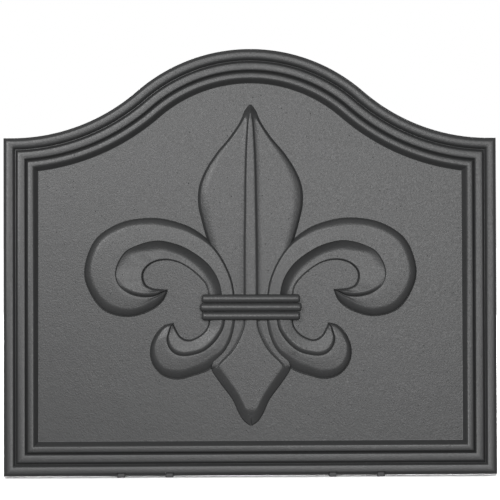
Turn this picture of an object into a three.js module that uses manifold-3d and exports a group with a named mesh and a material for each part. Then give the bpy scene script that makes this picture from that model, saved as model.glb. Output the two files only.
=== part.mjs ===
// Cast-iron fireback: an arched plate with a reeded frame and a fleur-de-lis in relief,
// standing on two cast rear feet that are bolted to bosses on its back.
// Millimetres, +Z up, front towards -Y. The plate is drawn upright with its field at y = 0 and
// its lower edge at z = 0, and the whole casting is then leant back on its feet.

import * as THREE from 'three';
import { mergeVertices } from 'three/addons/utils/BufferGeometryUtils.js';
import Module from 'manifold-3d';

const wasm = await Module();
wasm.setup();

// ---- Plate ----
const PLATE_WIDTH = 508;
const SHOULDER_HEIGHT = 347.5; // lower edge to the square shoulders
const CROWN_RISE = 92; // shoulders to the top of the arch
const SHOULDER_FLAT = 8; // level stretch beside each shoulder
const HOLLOW_RADIUS = 197; // hollow part of the ogee, beside the shoulder
const FIELD_THICKNESS = 9;
const LEAN_DEGREES = 2;
const HEARTH_CLEARANCE = 1.2; // lower edge of the plate above the hearth

// ---- Reeded frame ----
const FRAME_WIDTH = 35.5;
const RIM_HEIGHT = 0.9; // outer arris of the frame above the field
const GROOVE_HEIGHT = 0.9; // grooves between the reeds, above the field
const REED_DROP = 0.7; // from the crest of a reed down to its shoulders
// Each reed has steep flanks from its outer and inner foot up to two shoulders beside its crest.
// The places are distances inside the plate's outline.
const OUTER_REED = { outer: 0.3, outerShoulder: 2.9, innerShoulder: 8.8, inner: 11.8, height: 5.6 };
const MIDDLE_REED = { outer: 12.4, outerShoulder: 15, innerShoulder: 21.2, inner: 23.4, height: 6 };
const INNER_REED = { outer: 23.8, outerShoulder: 25.9, innerShoulder: 30.4, inner: 35, height: 6.4 };
const SHOULDER_ROUNDING = 0.25; // a reed's rounded part, as a share of the width between shoulders
const ARCH_STEPS = 36;

// ---- Fleur-de-lis ----
const MOTIF_WIDTH = 341.4; // across the two upper curls
const MOTIF_CENTRE_HEIGHT = 173; // middle of the collar above the plate's lower edge
const RELIEF_ROOT = 3; // how deep each relief form is rooted in the plate
const UPPER_LEAF_HEIGHT = 7.6;
const LOWER_LEAF_HEIGHT = 7.2;
const SPEAR_HEIGHT = 3.2;
const SPEAR_EDGE = 2.2; // width of the spear's sloping edge
const SPEAR_ARRIS_HEIGHT = 2.6; // blade's height where its edge starts to slope
const SPEAR_RIM_HEIGHT = 0.5;
const VEIN_HEIGHT = 6.2;
const VEIN_WALL = 1.2; // width of the vein's steep side
const VEIN_FOOT_HEIGHT = 4;
const VEIN_FILLET = 4.5; // width of the rise from the blade to the vein
const TAIL_HEIGHT = 5.2;
const TAIL_ARRIS_HEIGHT = 4.4;
const TAIL_RIM_HEIGHT = 1;
const COLLAR_HEIGHT = 10;
const COLLAR_HALF_LENGTH = 50.5;
const COLLAR_MIDDLE_STEP = 1.6; // the middle reed is longer by this at each end
const COLLAR_REED_PITCH = 8.8;
const COLLAR_REED_RADIUS = 4.5;
const COLLAR_GROOVE_DEPTH = 2; // from the crest of a reed down to the groove beside it
const COLLAR_BAND_OVERHANG = 3.15; // outer reeds' axes to the long edges of the band under the reeds
const COLLAR_BAND_SETBACK = 2.25; // reeds' ends to the ends of that band

// ---- Rear feet ----
const FOOT_OFFSET = 108.8; // plate's centre line to the middle of each foot
const CHEEK_SPACING = 49.5; // middle to middle of a foot's two cheeks
const CHEEK_THICKNESS = 8;
const FOOT_REACH = 118; // plate's back to the rear end of the foot
const FOOT_HEIGHT = 126;
const FOOT_SWEEP = { behind: 46, height: 31 }; // where the cheek's hollow rear edge is drawn in to
const TOE_HEIGHT = 5.2;
const TOE_REACH = 3; // toe's end in front of the field
const HEEL_HEIGHT = 14;
const HEEL_BAR_LENGTH = 16;
const HEEL_BAR_HEIGHT = 10.5;
const HEEL_BAR_SETBACK = 1; // bar's rear face inside the cheeks' ends
const FOOT_EDGE_RADIUS = 2.5;
const TOE_EDGE_RADIUS = 1;
const FLANGE_THICKNESS = 7;
const FLANGE_FOOT = 14; // lower edge of the flange above the plate's lower edge
const FLANGE_CORNER_RADIUS = 7;
const FIT_GAP = 0.3;

// ---- Bolted joints ----
const BOLT_HEIGHTS = { lower: 42, upper: 104 };
const BOSS_RADIUS = 14;
const BOSS_HEIGHT = 5;
const BOSS_DRAFT = 1.5; // boss foot is wider than its face by this
const BOLT_DIAMETER = 8;
const BOLT_THREAD_DEPTH = 9; // shank inside the plate and boss
const HOLE_BOTTOM_CLEARANCE = 1.5;
const FLANGE_HOLE_CLEARANCE = 0.5; // radial, round the shank
const HEAD_ACROSS_FLATS = 13;
const HEAD_HEIGHT = 5.3;
const HEAD_CHAMFER_DEGREES = 30;
const HEAD_CROWN_DIAMETER = 12.2; // round top inside the chamfered corners
const WASHER_RADIUS = 8.5;
const WASHER_THICKNESS = 1.6;
const SPRING_WASHER_RADIUS = 7;
const SPRING_WASHER_THICKNESS = 2;
const SPRING_WASHER_SPLIT_DEGREES = 12;

// ---- Finishes ----
const CASTING_BLACK = 0x2c2d2f;
const FOOT_BLACK = 0x262729;
const BOLT_STEEL = 0x4a4b4d;
const WASHER_STEEL = 0x5a5b5e;
const SPRING_STEEL = 0x3f4043;

// Rails of the ornament, drawn from the middle of the collar: [outwards, upwards].
// Each leaf has an outer edge, a crease between its two folds, and an eye edge.
const UPPER_LEAF = {
  outer: [
    [15, 4], [20, 31], [34.5, 58.5], [57, 79], [82.4, 89.4], [104.5, 92.5], [133, 86.2], [157, 69],
    [170.7, 38], [167, 18], [151, -2.5], [126, -9.2], [102, -2.3], [90.3, 7.3], [85.5, 18],
  ],
  crease: [
    [28.5, 4], [33, 27], [44, 44.5], [66, 60.3], [82, 65.4], [96, 67.3], [113, 63.3], [128, 55.5],
    [137.8, 37], [134.5, 23.5], [124, 14.8], [110, 11.3], [98, 12.4], [90.5, 15.9], [85.5, 18],
  ],
  eye: [
    [42, 4], [43.5, 21.5], [49.5, 30.5], [64, 42.5], [76, 48.4], [87.5, 50.5], [98.8, 48.7],
    [106.5, 44.2], [112, 36], [111.3, 27.5], [107, 22], [100.5, 19.2], [93.5, 18.3], [88.5, 18], [85.5, 18],
  ],
};
const LOWER_LEAF = {
  outer: [
    [15, -4], [17.6, -22], [23, -39], [32.6, -52.5], [44, -64], [59, -69.6], [76, -73.6],
    [91, -69.3], [101.3, -57], [103.3, -43], [98.5, -29], [89, -18.8], [80, -16],
  ],
  crease: [
    [27.5, -4], [28.8, -20], [33.2, -28.5], [40.6, -37.8], [50.5, -45.6], [61, -48.7], [69.5, -49.4],
    [77.5, -47.3], [83.5, -41.5], [86, -33], [84.8, -26.5], [82.5, -20], [80, -16],
  ],
  eye: [
    [42, -4], [42.8, -18.5], [46, -24.4], [51, -28.9], [57.5, -32.3], [63, -33.9], [68, -33.3],
    [72.3, -30.7], [75.3, -27.2], [77, -24], [78.5, -21], [79.7, -18.3], [80, -16],
  ],
};
const SPEAR = {
  edge: [
    [24, 8], [36, 44], [45, 72], [49.5, 88], [53.3, 106], [52.5, 124], [46, 141], [34, 159.5],
    [21, 175], [10, 192], [4, 204], [0, 210],
  ],
  vein: [
    [7.2, 8], [7.2, 44], [7, 72], [6.7, 88], [6.4, 106], [6.2, 124], [5.8, 141], [5.2, 159.5],
    [4.2, 175], [2.8, 192], [1.2, 203], [0, 208],
  ],
};
const TAIL = {
  edge: [
    [21, -8], [23, -20], [27.5, -35], [34, -48], [39.9, -61.8], [39.9, -64.4], [31.6, -77.3],
    [18.6, -95], [8.8, -113], [0, -122],
  ],
  panel: [
    [5.8, -8], [6, -20], [10.2, -35], [17.6, -45.5], [31.2, -59], [31.4, -61.4], [23, -74],
    [12, -90.5], [3.6, -107], [0, -112],
  ],
};

// Leaf sections from the outer edge (0) over the crease (1) to the eye edge (2), with heights as
// shares of the leaf's height: the leaf starts with one section and rolls over into the other.
const CREASE_AS_ARRIS = [
  [0, 0.16], [0.1, 0.62], [0.28, 0.82], [0.62, 0.93], [1, 1], [1.12, 0.66], [1.36, 0.48], [1.7, 0.46],
  [1.92, 0.38], [2, 0.12],
];
const CREASE_AS_VALLEY = [
  [0, 0.1], [0.16, 0.42], [0.38, 0.68], [0.68, 0.78], [1, 0.6], [1.16, 0.86], [1.38, 1], [1.7, 0.86],
  [1.92, 0.5], [2, 0.12],
];
const ROLL_OVER = { from: 0.42, to: 0.6 }; // along the upper leaf
const TIP_TAPER = { from: 0.72, share: 0.45 }; // where it starts, and the height left at the tip
const STATIONS_PER_SPAN = 2.5;
const LAST_STATION = 0.988; // the last section before the tip, along a form
const TAIL_ARRIS_PLACE = 0.12; // from the panel to the outline
const TAIL_RIM_PLACE = 0.92;
const STEEPEST = { vein: 0.1, fillet: 0.4, edge: 0.95 }; // the farthest that the spear's steps reach

// ---- Solids and meshes ----

function indexedGeometry(positions, indices) {
  const geometry = new THREE.BufferGeometry();
  geometry.setAttribute('position', new THREE.Float32BufferAttribute(positions, 3));
  geometry.setIndex(indices);
  return geometry;
}

function toSolid(geometry) {
  const bare = geometry.clone();
  bare.deleteAttribute('normal');
  bare.deleteAttribute('uv');
  const merged = mergeVertices(bare);
  const vertProperties = new Float32Array(merged.attributes.position.array);
  const triVerts = new Uint32Array(merged.index.array);
  return new wasm.Manifold(new wasm.Mesh({ numProp: 3, vertProperties, triVerts }));
}

function toGeometry(solid) {
  const mesh = solid.getMesh();
  const faceted = indexedGeometry(mesh.vertProperties, Array.from(mesh.triVerts)).toNonIndexed();
  faceted.computeVertexNormals();
  return faceted;
}

function joined(geometries) {
  return geometries.map(toSolid).reduce((whole, piece) => whole.add(piece));
}

// Six times the volume that the faces enclose: negative when they point inwards.
function enclosed(positions, indices) {
  const corner = (i) => new THREE.Vector3().fromArray(positions, 3 * indices[i]);
  let sum = 0;
  for (let i = 0; i < indices.length; i += 3) {
    sum += corner(i).dot(corner(i + 1).cross(corner(i + 2)));
  }
  return sum;
}

// Triangles over a ring of points that lies in one plane.
function capTriangles(ring) {
  const normal = new THREE.Vector3();
  ring.forEach((point, i) => normal.add(point.clone().cross(ring[(i + 1) % ring.length])));
  const across = new THREE.Vector3().subVectors(ring[ring.length - 1], ring[0]).normalize();
  const along = new THREE.Vector3().crossVectors(normal.normalize(), across);
  const flat = ring.map((point) => new THREE.Vector2(point.dot(across), point.dot(along)));
  return THREE.ShapeUtils.triangulateShape(flat, []);
}

// A closed skin over rings of equally many points, capped at its start, and at its end either
// capped or drawn to a point.
function loft(rings, apex = null) {
  const size = rings[0].length;
  const points = rings.flat();
  const indices = [];
  for (let r = 0; r + 1 < rings.length; r++) {
    for (let i = 0; i < size; i++) {
      const a = r * size + i;
      const b = r * size + (i + 1) % size;
      if (points[a].distanceTo(points[b + size]) < points[b].distanceTo(points[a + size])) {
        indices.push(a, b, b + size, a, b + size, a + size);
      } else {
        indices.push(a, b, a + size, b, b + size, a + size);
      }
    }
  }
  for (const [a, b, c] of capTriangles(rings[0])) {
    indices.push(c, b, a);
  }
  const last = (rings.length - 1) * size;
  if (apex) {
    points.push(apex);
    for (let i = 0; i < size; i++) {
      indices.push(last + i, last + (i + 1) % size, points.length - 1);
    }
  } else {
    for (const [a, b, c] of capTriangles(rings[rings.length - 1])) {
      indices.push(last + a, last + b, last + c);
    }
  }
  const positions = points.flatMap((point) => point.toArray());
  if (enclosed(positions, indices) < 0) {
    indices.reverse();
  }
  return indexedGeometry(positions, indices);
}

function finished(name, geometry, color, roughness, metalness) {
  const mesh = new THREE.Mesh(geometry, new THREE.MeshStandardMaterial({ color, roughness, metalness }));
  mesh.name = name;
  return mesh;
}

// ---- Plate outline and frame ----

// Height of the arch at x, on the curve that runs parallel to the outline at `inset` inside it.
function archHeight(x, inset) {
  const shoulderX = PLATE_WIDTH / 2 - SHOULDER_FLAT;
  const turn = 2 * Math.atan2(CROWN_RISE, shoulderX);
  const crownRadius = shoulderX / Math.sin(turn) - HOLLOW_RADIUS;
  const hollow = HOLLOW_RADIUS + inset;
  const fromCentre = Math.abs(x);
  if (fromCentre >= shoulderX) {
    return SHOULDER_HEIGHT - inset;
  }
  if (fromCentre > shoulderX - hollow * Math.sin(turn)) {
    return SHOULDER_HEIGHT + HOLLOW_RADIUS - Math.sqrt(hollow ** 2 - (shoulderX - fromCentre) ** 2);
  }
  const crown = crownRadius - inset;
  return SHOULDER_HEIGHT + CROWN_RISE - crownRadius + Math.sqrt(crown ** 2 - fromCentre ** 2);
}

function plateRing(inset, height) {
  const side = PLATE_WIDTH / 2 - inset;
  const ring = [new THREE.Vector3(-side, -height, inset), new THREE.Vector3(side, -height, inset)];
  for (let i = 0; i <= ARCH_STEPS; i++) {
    const x = side * (1 - 2 * i / ARCH_STEPS);
    ring.push(new THREE.Vector3(x, -height, archHeight(x, inset)));
  }
  return ring;
}

function plateBody() {
  const rings = [plateRing(0, -FIELD_THICKNESS), plateRing(0, RIM_HEIGHT)];
  for (const reed of [OUTER_REED, MIDDLE_REED, INNER_REED]) {
    const rounding = SHOULDER_ROUNDING * (reed.innerShoulder - reed.outerShoulder);
    rings.push(plateRing(reed.outer, GROOVE_HEIGHT));
    rings.push(plateRing(reed.outerShoulder, reed.height - REED_DROP));
    rings.push(plateRing(reed.outerShoulder + rounding, reed.height));
    rings.push(plateRing(reed.innerShoulder - rounding, reed.height));
    rings.push(plateRing(reed.innerShoulder, reed.height - REED_DROP));
    rings.push(plateRing(reed.inner, GROOVE_HEIGHT));
  }
  rings.push(plateRing(FRAME_WIDTH, 0));
  return loft(rings);
}

// ---- Fleur-de-lis ----

const drawnWidth = 2 * Math.max(...UPPER_LEAF.outer.map(([x]) => x));
const motifScale = MOTIF_WIDTH / drawnWidth;

function rail(points) {
  const lifted = points.map(([x, z]) => new THREE.Vector3(x * motifScale, 0, z * motifScale));
  return new THREE.CatmullRomCurve3(lifted);
}

function onPlate(point, height, side = 1) {
  return new THREE.Vector3(side * point.x, point.y - height, point.z + MOTIF_CENTRE_HEIGHT);
}

// Places along a form with these rail points, evenly spread up to one near the tip.
function stationsAlong(railPoints) {
  const count = Math.round((railPoints.length - 1) * STATIONS_PER_SPAN);
  return Array.from({ length: count }, (_, i) => LAST_STATION * i / (count - 1));
}

// The shape of a leaf across its width: share 0 is one section, share 1 the other.
function leafSection(first, second, share) {
  return first.map(([at, height], i) => [
    THREE.MathUtils.lerp(at, second[i][0], share),
    THREE.MathUtils.lerp(height, second[i][1], share),
  ]);
}

function leaf(rails, height, side, rollOver) {
  const outer = rail(rails.outer);
  const crease = rail(rails.crease);
  const eye = rail(rails.eye);
  const rings = stationsAlong(rails.outer).map((t) => {
    const edges = [outer.getPoint(t), crease.getPoint(t), eye.getPoint(t)];
    const taper = 1 - (1 - TIP_TAPER.share) * THREE.MathUtils.smoothstep(t, TIP_TAPER.from, 1);
    const rolled = rollOver ? THREE.MathUtils.smoothstep(t, rollOver.from, rollOver.to) : 1;
    const ring = [onPlate(edges[0], -RELIEF_ROOT, side)];
    for (const [at, share] of leafSection(CREASE_AS_ARRIS, CREASE_AS_VALLEY, rolled)) {
      const fold = at > 1 ? 1 : 0;
      const point = edges[fold].clone().lerp(edges[fold + 1], at - fold);
      ring.push(onPlate(point, share * height * taper, side));
    }
    ring.push(onPlate(edges[2], -RELIEF_ROOT, side));
    return ring;
  });
  return loft(rings, onPlate(outer.getPoint(1), -RELIEF_ROOT, side));
}

// A form that is the same on both sides of the centre line: `across` gives its half section at
// one station, from the centre outwards, as points and heights.
function mirroredForm(stations, across, tip) {
  const rings = stations.map((t) => {
    const half = across(t);
    const left = half.slice().reverse().map(([point, height]) => onPlate(point, height, -1));
    const right = half.map(([point, height]) => onPlate(point, height));
    return [...left, ...right];
  });
  return loft(rings, onPlate(tip, -RELIEF_ROOT));
}

function spear() {
  const edge = rail(SPEAR.edge);
  const vein = rail(SPEAR.vein);
  return mirroredForm(stationsAlong(SPEAR.edge), (t) => {
    const inner = vein.getPoint(t);
    const outer = edge.getPoint(t);
    const width = inner.distanceTo(outer);
    const at = (distance, limit) => inner.clone().lerp(outer, Math.min(distance / width, limit));
    return [
      [inner, VEIN_HEIGHT],
      [at(VEIN_WALL, STEEPEST.vein), VEIN_FOOT_HEIGHT],
      [at(VEIN_FILLET, STEEPEST.fillet), SPEAR_HEIGHT],
      [at(width - SPEAR_EDGE, STEEPEST.edge), SPEAR_ARRIS_HEIGHT],
      [outer, SPEAR_RIM_HEIGHT],
      [outer, -RELIEF_ROOT],
    ];
  }, edge.getPoint(1));
}

function tail() {
  const edge = rail(TAIL.edge);
  const panel = rail(TAIL.panel);
  return mirroredForm(stationsAlong(TAIL.edge), (t) => {
    const inner = panel.getPoint(t);
    const outer = edge.getPoint(t);
    return [
      [inner, TAIL_HEIGHT],
      [inner.clone().lerp(outer, TAIL_ARRIS_PLACE), TAIL_ARRIS_HEIGHT],
      [inner.clone().lerp(outer, TAIL_RIM_PLACE), TAIL_RIM_HEIGHT],
      [outer, -RELIEF_ROOT],
    ];
  }, edge.getPoint(1));
}

function collar() {
  const rows = [-1, 0, 1];
  const reeds = rows.map((row) => {
    const halfLength = COLLAR_HALF_LENGTH + (row === 0 ? COLLAR_MIDDLE_STEP : 0);
    const straight = 2 * (halfLength - COLLAR_REED_RADIUS);
    const reed = new THREE.CapsuleGeometry(COLLAR_REED_RADIUS, straight, 3, 14).rotateZ(Math.PI / 2);
    const crest = COLLAR_REED_RADIUS - COLLAR_HEIGHT;
    return reed.translate(0, crest, MOTIF_CENTRE_HEIGHT + row * COLLAR_REED_PITCH);
  });
  const depth = COLLAR_HEIGHT - COLLAR_GROOVE_DEPTH + RELIEF_ROOT;
  const bandLength = 2 * (COLLAR_HALF_LENGTH - COLLAR_BAND_SETBACK);
  const bandWidth = 2 * (COLLAR_REED_PITCH + COLLAR_BAND_OVERHANG);
  const band = new THREE.BoxGeometry(bandLength, depth, bandWidth);
  return joined([...reeds, band.translate(0, RELIEF_ROOT - depth / 2, MOTIF_CENTRE_HEIGHT)]);
}

function fleurDeLis() {
  const forms = [spear(), tail()];
  for (const side of [-1, 1]) {
    forms.push(leaf(UPPER_LEAF, UPPER_LEAF_HEIGHT, side, ROLL_OVER));
    forms.push(leaf(LOWER_LEAF, LOWER_LEAF_HEIGHT, side, null));
  }
  return joined(forms).add(collar());
}

// ---- Lean and bolted joints ----

const lean = THREE.MathUtils.degToRad(LEAN_DEGREES);
const leanMatrix = new THREE.Matrix4().makeRotationX(-lean);
leanMatrix.setPosition(0, 0, HEARTH_CLEARANCE + FIELD_THICKNESS * Math.sin(lean));

// Depths along a bolt, all measured from the field towards the back.
const bossFace = FIELD_THICKNESS + BOSS_HEIGHT;
const flangeFront = bossFace + FIT_GAP;
const flangeBack = flangeFront + FLANGE_THICKNESS;
const washerFront = flangeBack + FIT_GAP;
const springFront = washerFront + WASHER_THICKNESS + FIT_GAP;
const headFront = springFront + SPRING_WASHER_THICKNESS + FIT_GAP;

const FEET = { left: -1, right: 1 };

function forEachBolt(make) {
  return Object.entries(FEET).flatMap(([foot, side]) => Object.entries(BOLT_HEIGHTS).map(
    ([level, height]) => make(`${foot}_${level}`, side * FOOT_OFFSET, height),
  ));
}

// A solid of revolution about a bolt's axis, from radii and depths.
function turned(profile, x, z, steps = 28) {
  const points = profile.map(([radius, depth]) => new THREE.Vector2(radius, depth));
  return new THREE.LatheGeometry(points, steps).translate(x, 0, z);
}

function rod(radius, from, to, x, z) {
  return turned([[0, from], [radius, from], [radius, to], [0, to]], x, z);
}

function boss(x, z) {
  const foot = BOSS_RADIUS + BOSS_DRAFT;
  const root = FIELD_THICKNESS - RELIEF_ROOT;
  const profile = [[0, root], [foot, root], [foot, FIELD_THICKNESS], [BOSS_RADIUS, bossFace], [0, bossFace]];
  return turned(profile, x, z);
}

// ---- Fireback plate: one casting ----

function toeNotches() {
  const toLocal = leanMatrix.clone().invert();
  const depth = 4 * (FIELD_THICKNESS + TOE_HEIGHT);
  return Object.values(FEET).flatMap((side) => [-1, 1].map((cheek) => {
    const notch = new THREE.BoxGeometry(CHEEK_THICKNESS + 2 * FIT_GAP, depth, 2 * (TOE_HEIGHT + FIT_GAP));
    notch.translate(side * FOOT_OFFSET + cheek * CHEEK_SPACING / 2, 0, 0);
    return notch.applyMatrix4(toLocal);
  }));
}

function firebackPlate() {
  const bosses = forEachBolt((name, x, z) => boss(x, z));
  const holeBottom = bossFace - BOLT_THREAD_DEPTH - HOLE_BOTTOM_CLEARANCE;
  const holeRadius = BOLT_DIAMETER / 2 + FIT_GAP;
  const holes = forEachBolt((name, x, z) => rod(holeRadius, holeBottom, bossFace + BOSS_HEIGHT, x, z));
  const casting = joined([plateBody(), ...bosses]).add(fleurDeLis());
  return finished(
    'fireback_plate', toGeometry(casting.subtract(joined([...holes, ...toeNotches()]))),
    CASTING_BLACK, 0.52, 0.35,
  );
}

// ---- Support feet: one casting each, drawn standing on the hearth ----

const sideways = new THREE.Matrix4().makeBasis(
  new THREE.Vector3(0, 1, 0), new THREE.Vector3(0, 0, 1), new THREE.Vector3(1, 0, 0),
);

function extruded(shape, depth, curveSegments) {
  return new THREE.ExtrudeGeometry(shape, { depth, bevelEnabled: false, curveSegments });
}

function footCheek(x) {
  const rear = FIELD_THICKNESS + FOOT_REACH;
  const spine = (z) => flangeFront + FLANGE_THICKNESS / 2 + z * Math.tan(lean);
  const profile = new THREE.Shape();
  profile.moveTo(-TOE_REACH, 0);
  profile.lineTo(rear - FOOT_EDGE_RADIUS, 0);
  profile.quadraticCurveTo(rear, 0, rear, FOOT_EDGE_RADIUS);
  profile.lineTo(rear, HEEL_HEIGHT);
  const top = FOOT_HEIGHT - FLANGE_CORNER_RADIUS;
  const flangeRear = spine(FOOT_HEIGHT) + FLANGE_THICKNESS / 2;
  profile.quadraticCurveTo(spine(0) + FOOT_SWEEP.behind, FOOT_SWEEP.height, flangeRear, top);
  profile.lineTo(spine(FOOT_HEIGHT), top);
  profile.lineTo(spine(TOE_HEIGHT), TOE_HEIGHT);
  profile.lineTo(TOE_EDGE_RADIUS - TOE_REACH, TOE_HEIGHT);
  profile.quadraticCurveTo(-TOE_REACH, TOE_HEIGHT, -TOE_REACH, TOE_HEIGHT - TOE_EDGE_RADIUS);
  const cheek = extruded(profile, CHEEK_THICKNESS, 10).applyMatrix4(sideways);
  return cheek.translate(x - CHEEK_THICKNESS / 2, 0, 0);
}

function roundedPanel(width, height, radius) {
  const x = width / 2 - radius;
  const y = height / 2 - radius;
  const panel = new THREE.Shape();
  panel.absarc(x, y, radius, 0, Math.PI / 2);
  panel.absarc(-x, y, radius, Math.PI / 2, Math.PI);
  panel.absarc(-x, -y, radius, Math.PI, 1.5 * Math.PI);
  panel.absarc(x, -y, radius, 1.5 * Math.PI, 2 * Math.PI);
  return panel;
}

function footFlange(x) {
  const height = FOOT_HEIGHT - FLANGE_FOOT;
  const outline = roundedPanel(CHEEK_SPACING + CHEEK_THICKNESS, height, FLANGE_CORNER_RADIUS);
  const flange = extruded(outline, FLANGE_THICKNESS, 4).rotateX(Math.PI / 2);
  flange.translate(x, flangeBack, FLANGE_FOOT + height / 2);
  return flange.applyMatrix4(leanMatrix);
}

function heelBar(x) {
  const heel = new THREE.BoxGeometry(CHEEK_SPACING, HEEL_BAR_LENGTH, HEEL_BAR_HEIGHT);
  const rear = FIELD_THICKNESS + FOOT_REACH - HEEL_BAR_SETBACK;
  return heel.translate(x, rear - HEEL_BAR_LENGTH / 2, HEEL_BAR_HEIGHT / 2);
}

function supportFoot(name, side) {
  const x = side * FOOT_OFFSET;
  const cheeks = [-1, 1].map((cheek) => footCheek(x + cheek * CHEEK_SPACING / 2));
  const holeRadius = BOLT_DIAMETER / 2 + FLANGE_HOLE_CLEARANCE;
  const holes = Object.values(BOLT_HEIGHTS).map((height) => {
    const hole = rod(holeRadius, flangeFront - FLANGE_THICKNESS, flangeBack + FLANGE_THICKNESS, x, height);
    return hole.applyMatrix4(leanMatrix);
  });
  const foot = joined([footFlange(x), heelBar(x), ...cheeks]).subtract(joined(holes));
  return finished(name, toGeometry(foot), FOOT_BLACK, 0.6, 0.35);
}

// ---- Bolts and washers ----

function boltHead(x, z) {
  const corner = HEAD_ACROSS_FLATS / 2 / Math.cos(Math.PI / 6);
  const hexagon = new THREE.CylinderGeometry(corner, corner, HEAD_HEIGHT, 6);
  hexagon.translate(x, headFront + HEAD_HEIGHT / 2, z);
  const crown = HEAD_CROWN_DIAMETER / 2;
  const chamfer = (corner - crown) * Math.tan(THREE.MathUtils.degToRad(HEAD_CHAMFER_DEGREES));
  const back = headFront + HEAD_HEIGHT;
  const profile = [[0, headFront], [corner, headFront], [corner, back - chamfer], [crown, back], [0, back]];
  return toSolid(hexagon).intersect(toSolid(turned(profile, x, z, 48)));
}

function hexBolt(name, x, z) {
  const shank = rod(BOLT_DIAMETER / 2, bossFace - BOLT_THREAD_DEPTH, headFront + HEAD_HEIGHT / 2, x, z);
  return finished(`hex_bolt_${name}`, toGeometry(boltHead(x, z).add(toSolid(shank))), BOLT_STEEL, 0.45, 0.8);
}

function flatWasher(name, x, z) {
  const bore = BOLT_DIAMETER / 2 + FIT_GAP;
  const back = washerFront + WASHER_THICKNESS;
  const section = [[bore, washerFront], [WASHER_RADIUS, washerFront], [WASHER_RADIUS, back], [bore, back]];
  const ring = turned([...section, section[0]], x, z);
  return finished(`flat_washer_${name}`, ring, WASHER_STEEL, 0.4, 0.85);
}

function springWasher(name, x, z) {
  const split = THREE.MathUtils.degToRad(SPRING_WASHER_SPLIT_DEGREES);
  const coil = new THREE.Shape();
  coil.absarc(0, 0, SPRING_WASHER_RADIUS, 0, 2 * Math.PI - split, false);
  coil.absarc(0, 0, BOLT_DIAMETER / 2 + FIT_GAP, 2 * Math.PI - split, 0, true);
  const ring = extruded(coil, SPRING_WASHER_THICKNESS, 14).rotateX(Math.PI / 2);
  ring.translate(x, springFront + SPRING_WASHER_THICKNESS, z);
  return finished(`spring_washer_${name}`, ring, SPRING_STEEL, 0.45, 0.8);
}

// ---- Assembly ----

const leaning = new THREE.Group();
leaning.add(firebackPlate(), ...[hexBolt, flatWasher, springWasher].flatMap(forEachBolt));
leanMatrix.decompose(leaning.position, leaning.quaternion, leaning.scale);

const fireback = new THREE.Group();
fireback.add(leaning);
for (const [foot, side] of Object.entries(FEET)) {
  fireback.add(supportFoot(`support_foot_${foot}`, side));
}

// The origin is on the hearth, in the middle of the object's plan.
const box = new THREE.Box3().setFromObject(fireback);
fireback.position.y = -(box.min.y + box.max.y) / 2;

export default fireback;
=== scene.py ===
"""Scene of a free-standing cast-iron fireback.

An arched plate carries a frame of three reeds and a fleur-de-lis in relief. It stands on two cast
rear feet that are bolted to bosses on its back. Sizes are millimetres on the drawing of the upright
plate: x to the right, z up from the lower edge, and heights above the field towards the room.
`Stance` leans the drawing back and sets it on the hearth, in metres.
"""

import logging
import math
from collections.abc import Callable, Iterable, Sequence
from dataclasses import dataclass, field
from enum import Enum

import bmesh
import bpy
from mathutils import Matrix, Vector


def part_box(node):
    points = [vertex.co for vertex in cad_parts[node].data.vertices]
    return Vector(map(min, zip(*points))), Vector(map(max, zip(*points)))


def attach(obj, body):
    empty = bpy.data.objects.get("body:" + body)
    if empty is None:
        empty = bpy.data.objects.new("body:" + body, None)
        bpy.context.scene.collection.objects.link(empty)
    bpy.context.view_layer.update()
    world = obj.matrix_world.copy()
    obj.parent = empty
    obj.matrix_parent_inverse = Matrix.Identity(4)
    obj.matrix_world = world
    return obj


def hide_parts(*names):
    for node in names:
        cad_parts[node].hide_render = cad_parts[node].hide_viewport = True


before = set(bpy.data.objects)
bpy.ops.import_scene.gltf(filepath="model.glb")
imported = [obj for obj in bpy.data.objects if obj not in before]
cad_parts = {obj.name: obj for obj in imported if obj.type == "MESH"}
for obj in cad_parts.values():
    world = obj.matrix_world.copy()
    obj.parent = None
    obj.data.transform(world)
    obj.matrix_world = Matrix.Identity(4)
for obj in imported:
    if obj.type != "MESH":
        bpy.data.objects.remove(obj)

LOG = logging.getLogger("fireback")
MM = 0.001
Point = tuple[float, float]
Place = tuple[float, float, float]
Colour = tuple[float, float, float]
# Points of the drawing, their heights above the field, and how much of a crest each is, 0 to 1,
# which sets the painted shade and highlight of the paint.
Ring = list[tuple[Vector, float, float]]
# Gives the place of corner (column, row) of a grid, and how much of a crest it is.
Placer = Callable[[int, int], tuple[Vector, float]]

# Lengths that count as none, and corners that count as one.
TINY = 1e-4
MERGED = 0.0005

# Sizes that several sub-assemblies share.
FIELD_THICKNESS = 9.0
BOSS_HEIGHT = 5.0
FOOT_OFFSET = 108.8
FOOT_REACH = 118.0
CHEEK_SPACING = 49.5
FIT_GAP = 0.3


class Side(Enum):
    """Which side of the plate's centre line a piece is on, seen from the front."""

    LEFT = -1
    RIGHT = 1

    @property
    def word(self) -> str:
        """The side's name in a piece's name."""
        return self.name.lower()


class Level(Enum):
    """The height of a bolt above the plate's lower edge."""

    LOWER = 42.0
    UPPER = 104.0

    @property
    def word(self) -> str:
        """The level's name in a piece's name."""
        return self.name.lower()


class Fit(Enum):
    """How a piece is drawn: on the leaning plate or upright on the hearth."""

    LEANING = "leaning"
    STANDING = "standing"


# ---------------------------------------------------------------- numbers and curves


def lerp(first: float, second: float, share: float) -> float:
    """The value at `share` of the way from first to second."""
    return first + (second - first) * share


def smoothstep(value: float, low: float, high: float) -> float:
    """0 below low, 1 above high, and a smooth rise between them."""
    share = min(max((value - low) / (high - low), 0.0), 1.0)
    return share * share * (3.0 - 2.0 * share)


def soft_max(first: float, second: float, fillet: float) -> float:
    """The larger of two heights, with a fillet where they meet."""
    overlap = max(fillet - abs(first - second), 0.0)
    return max(first, second) + overlap * overlap / (4.0 * fillet)


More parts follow.
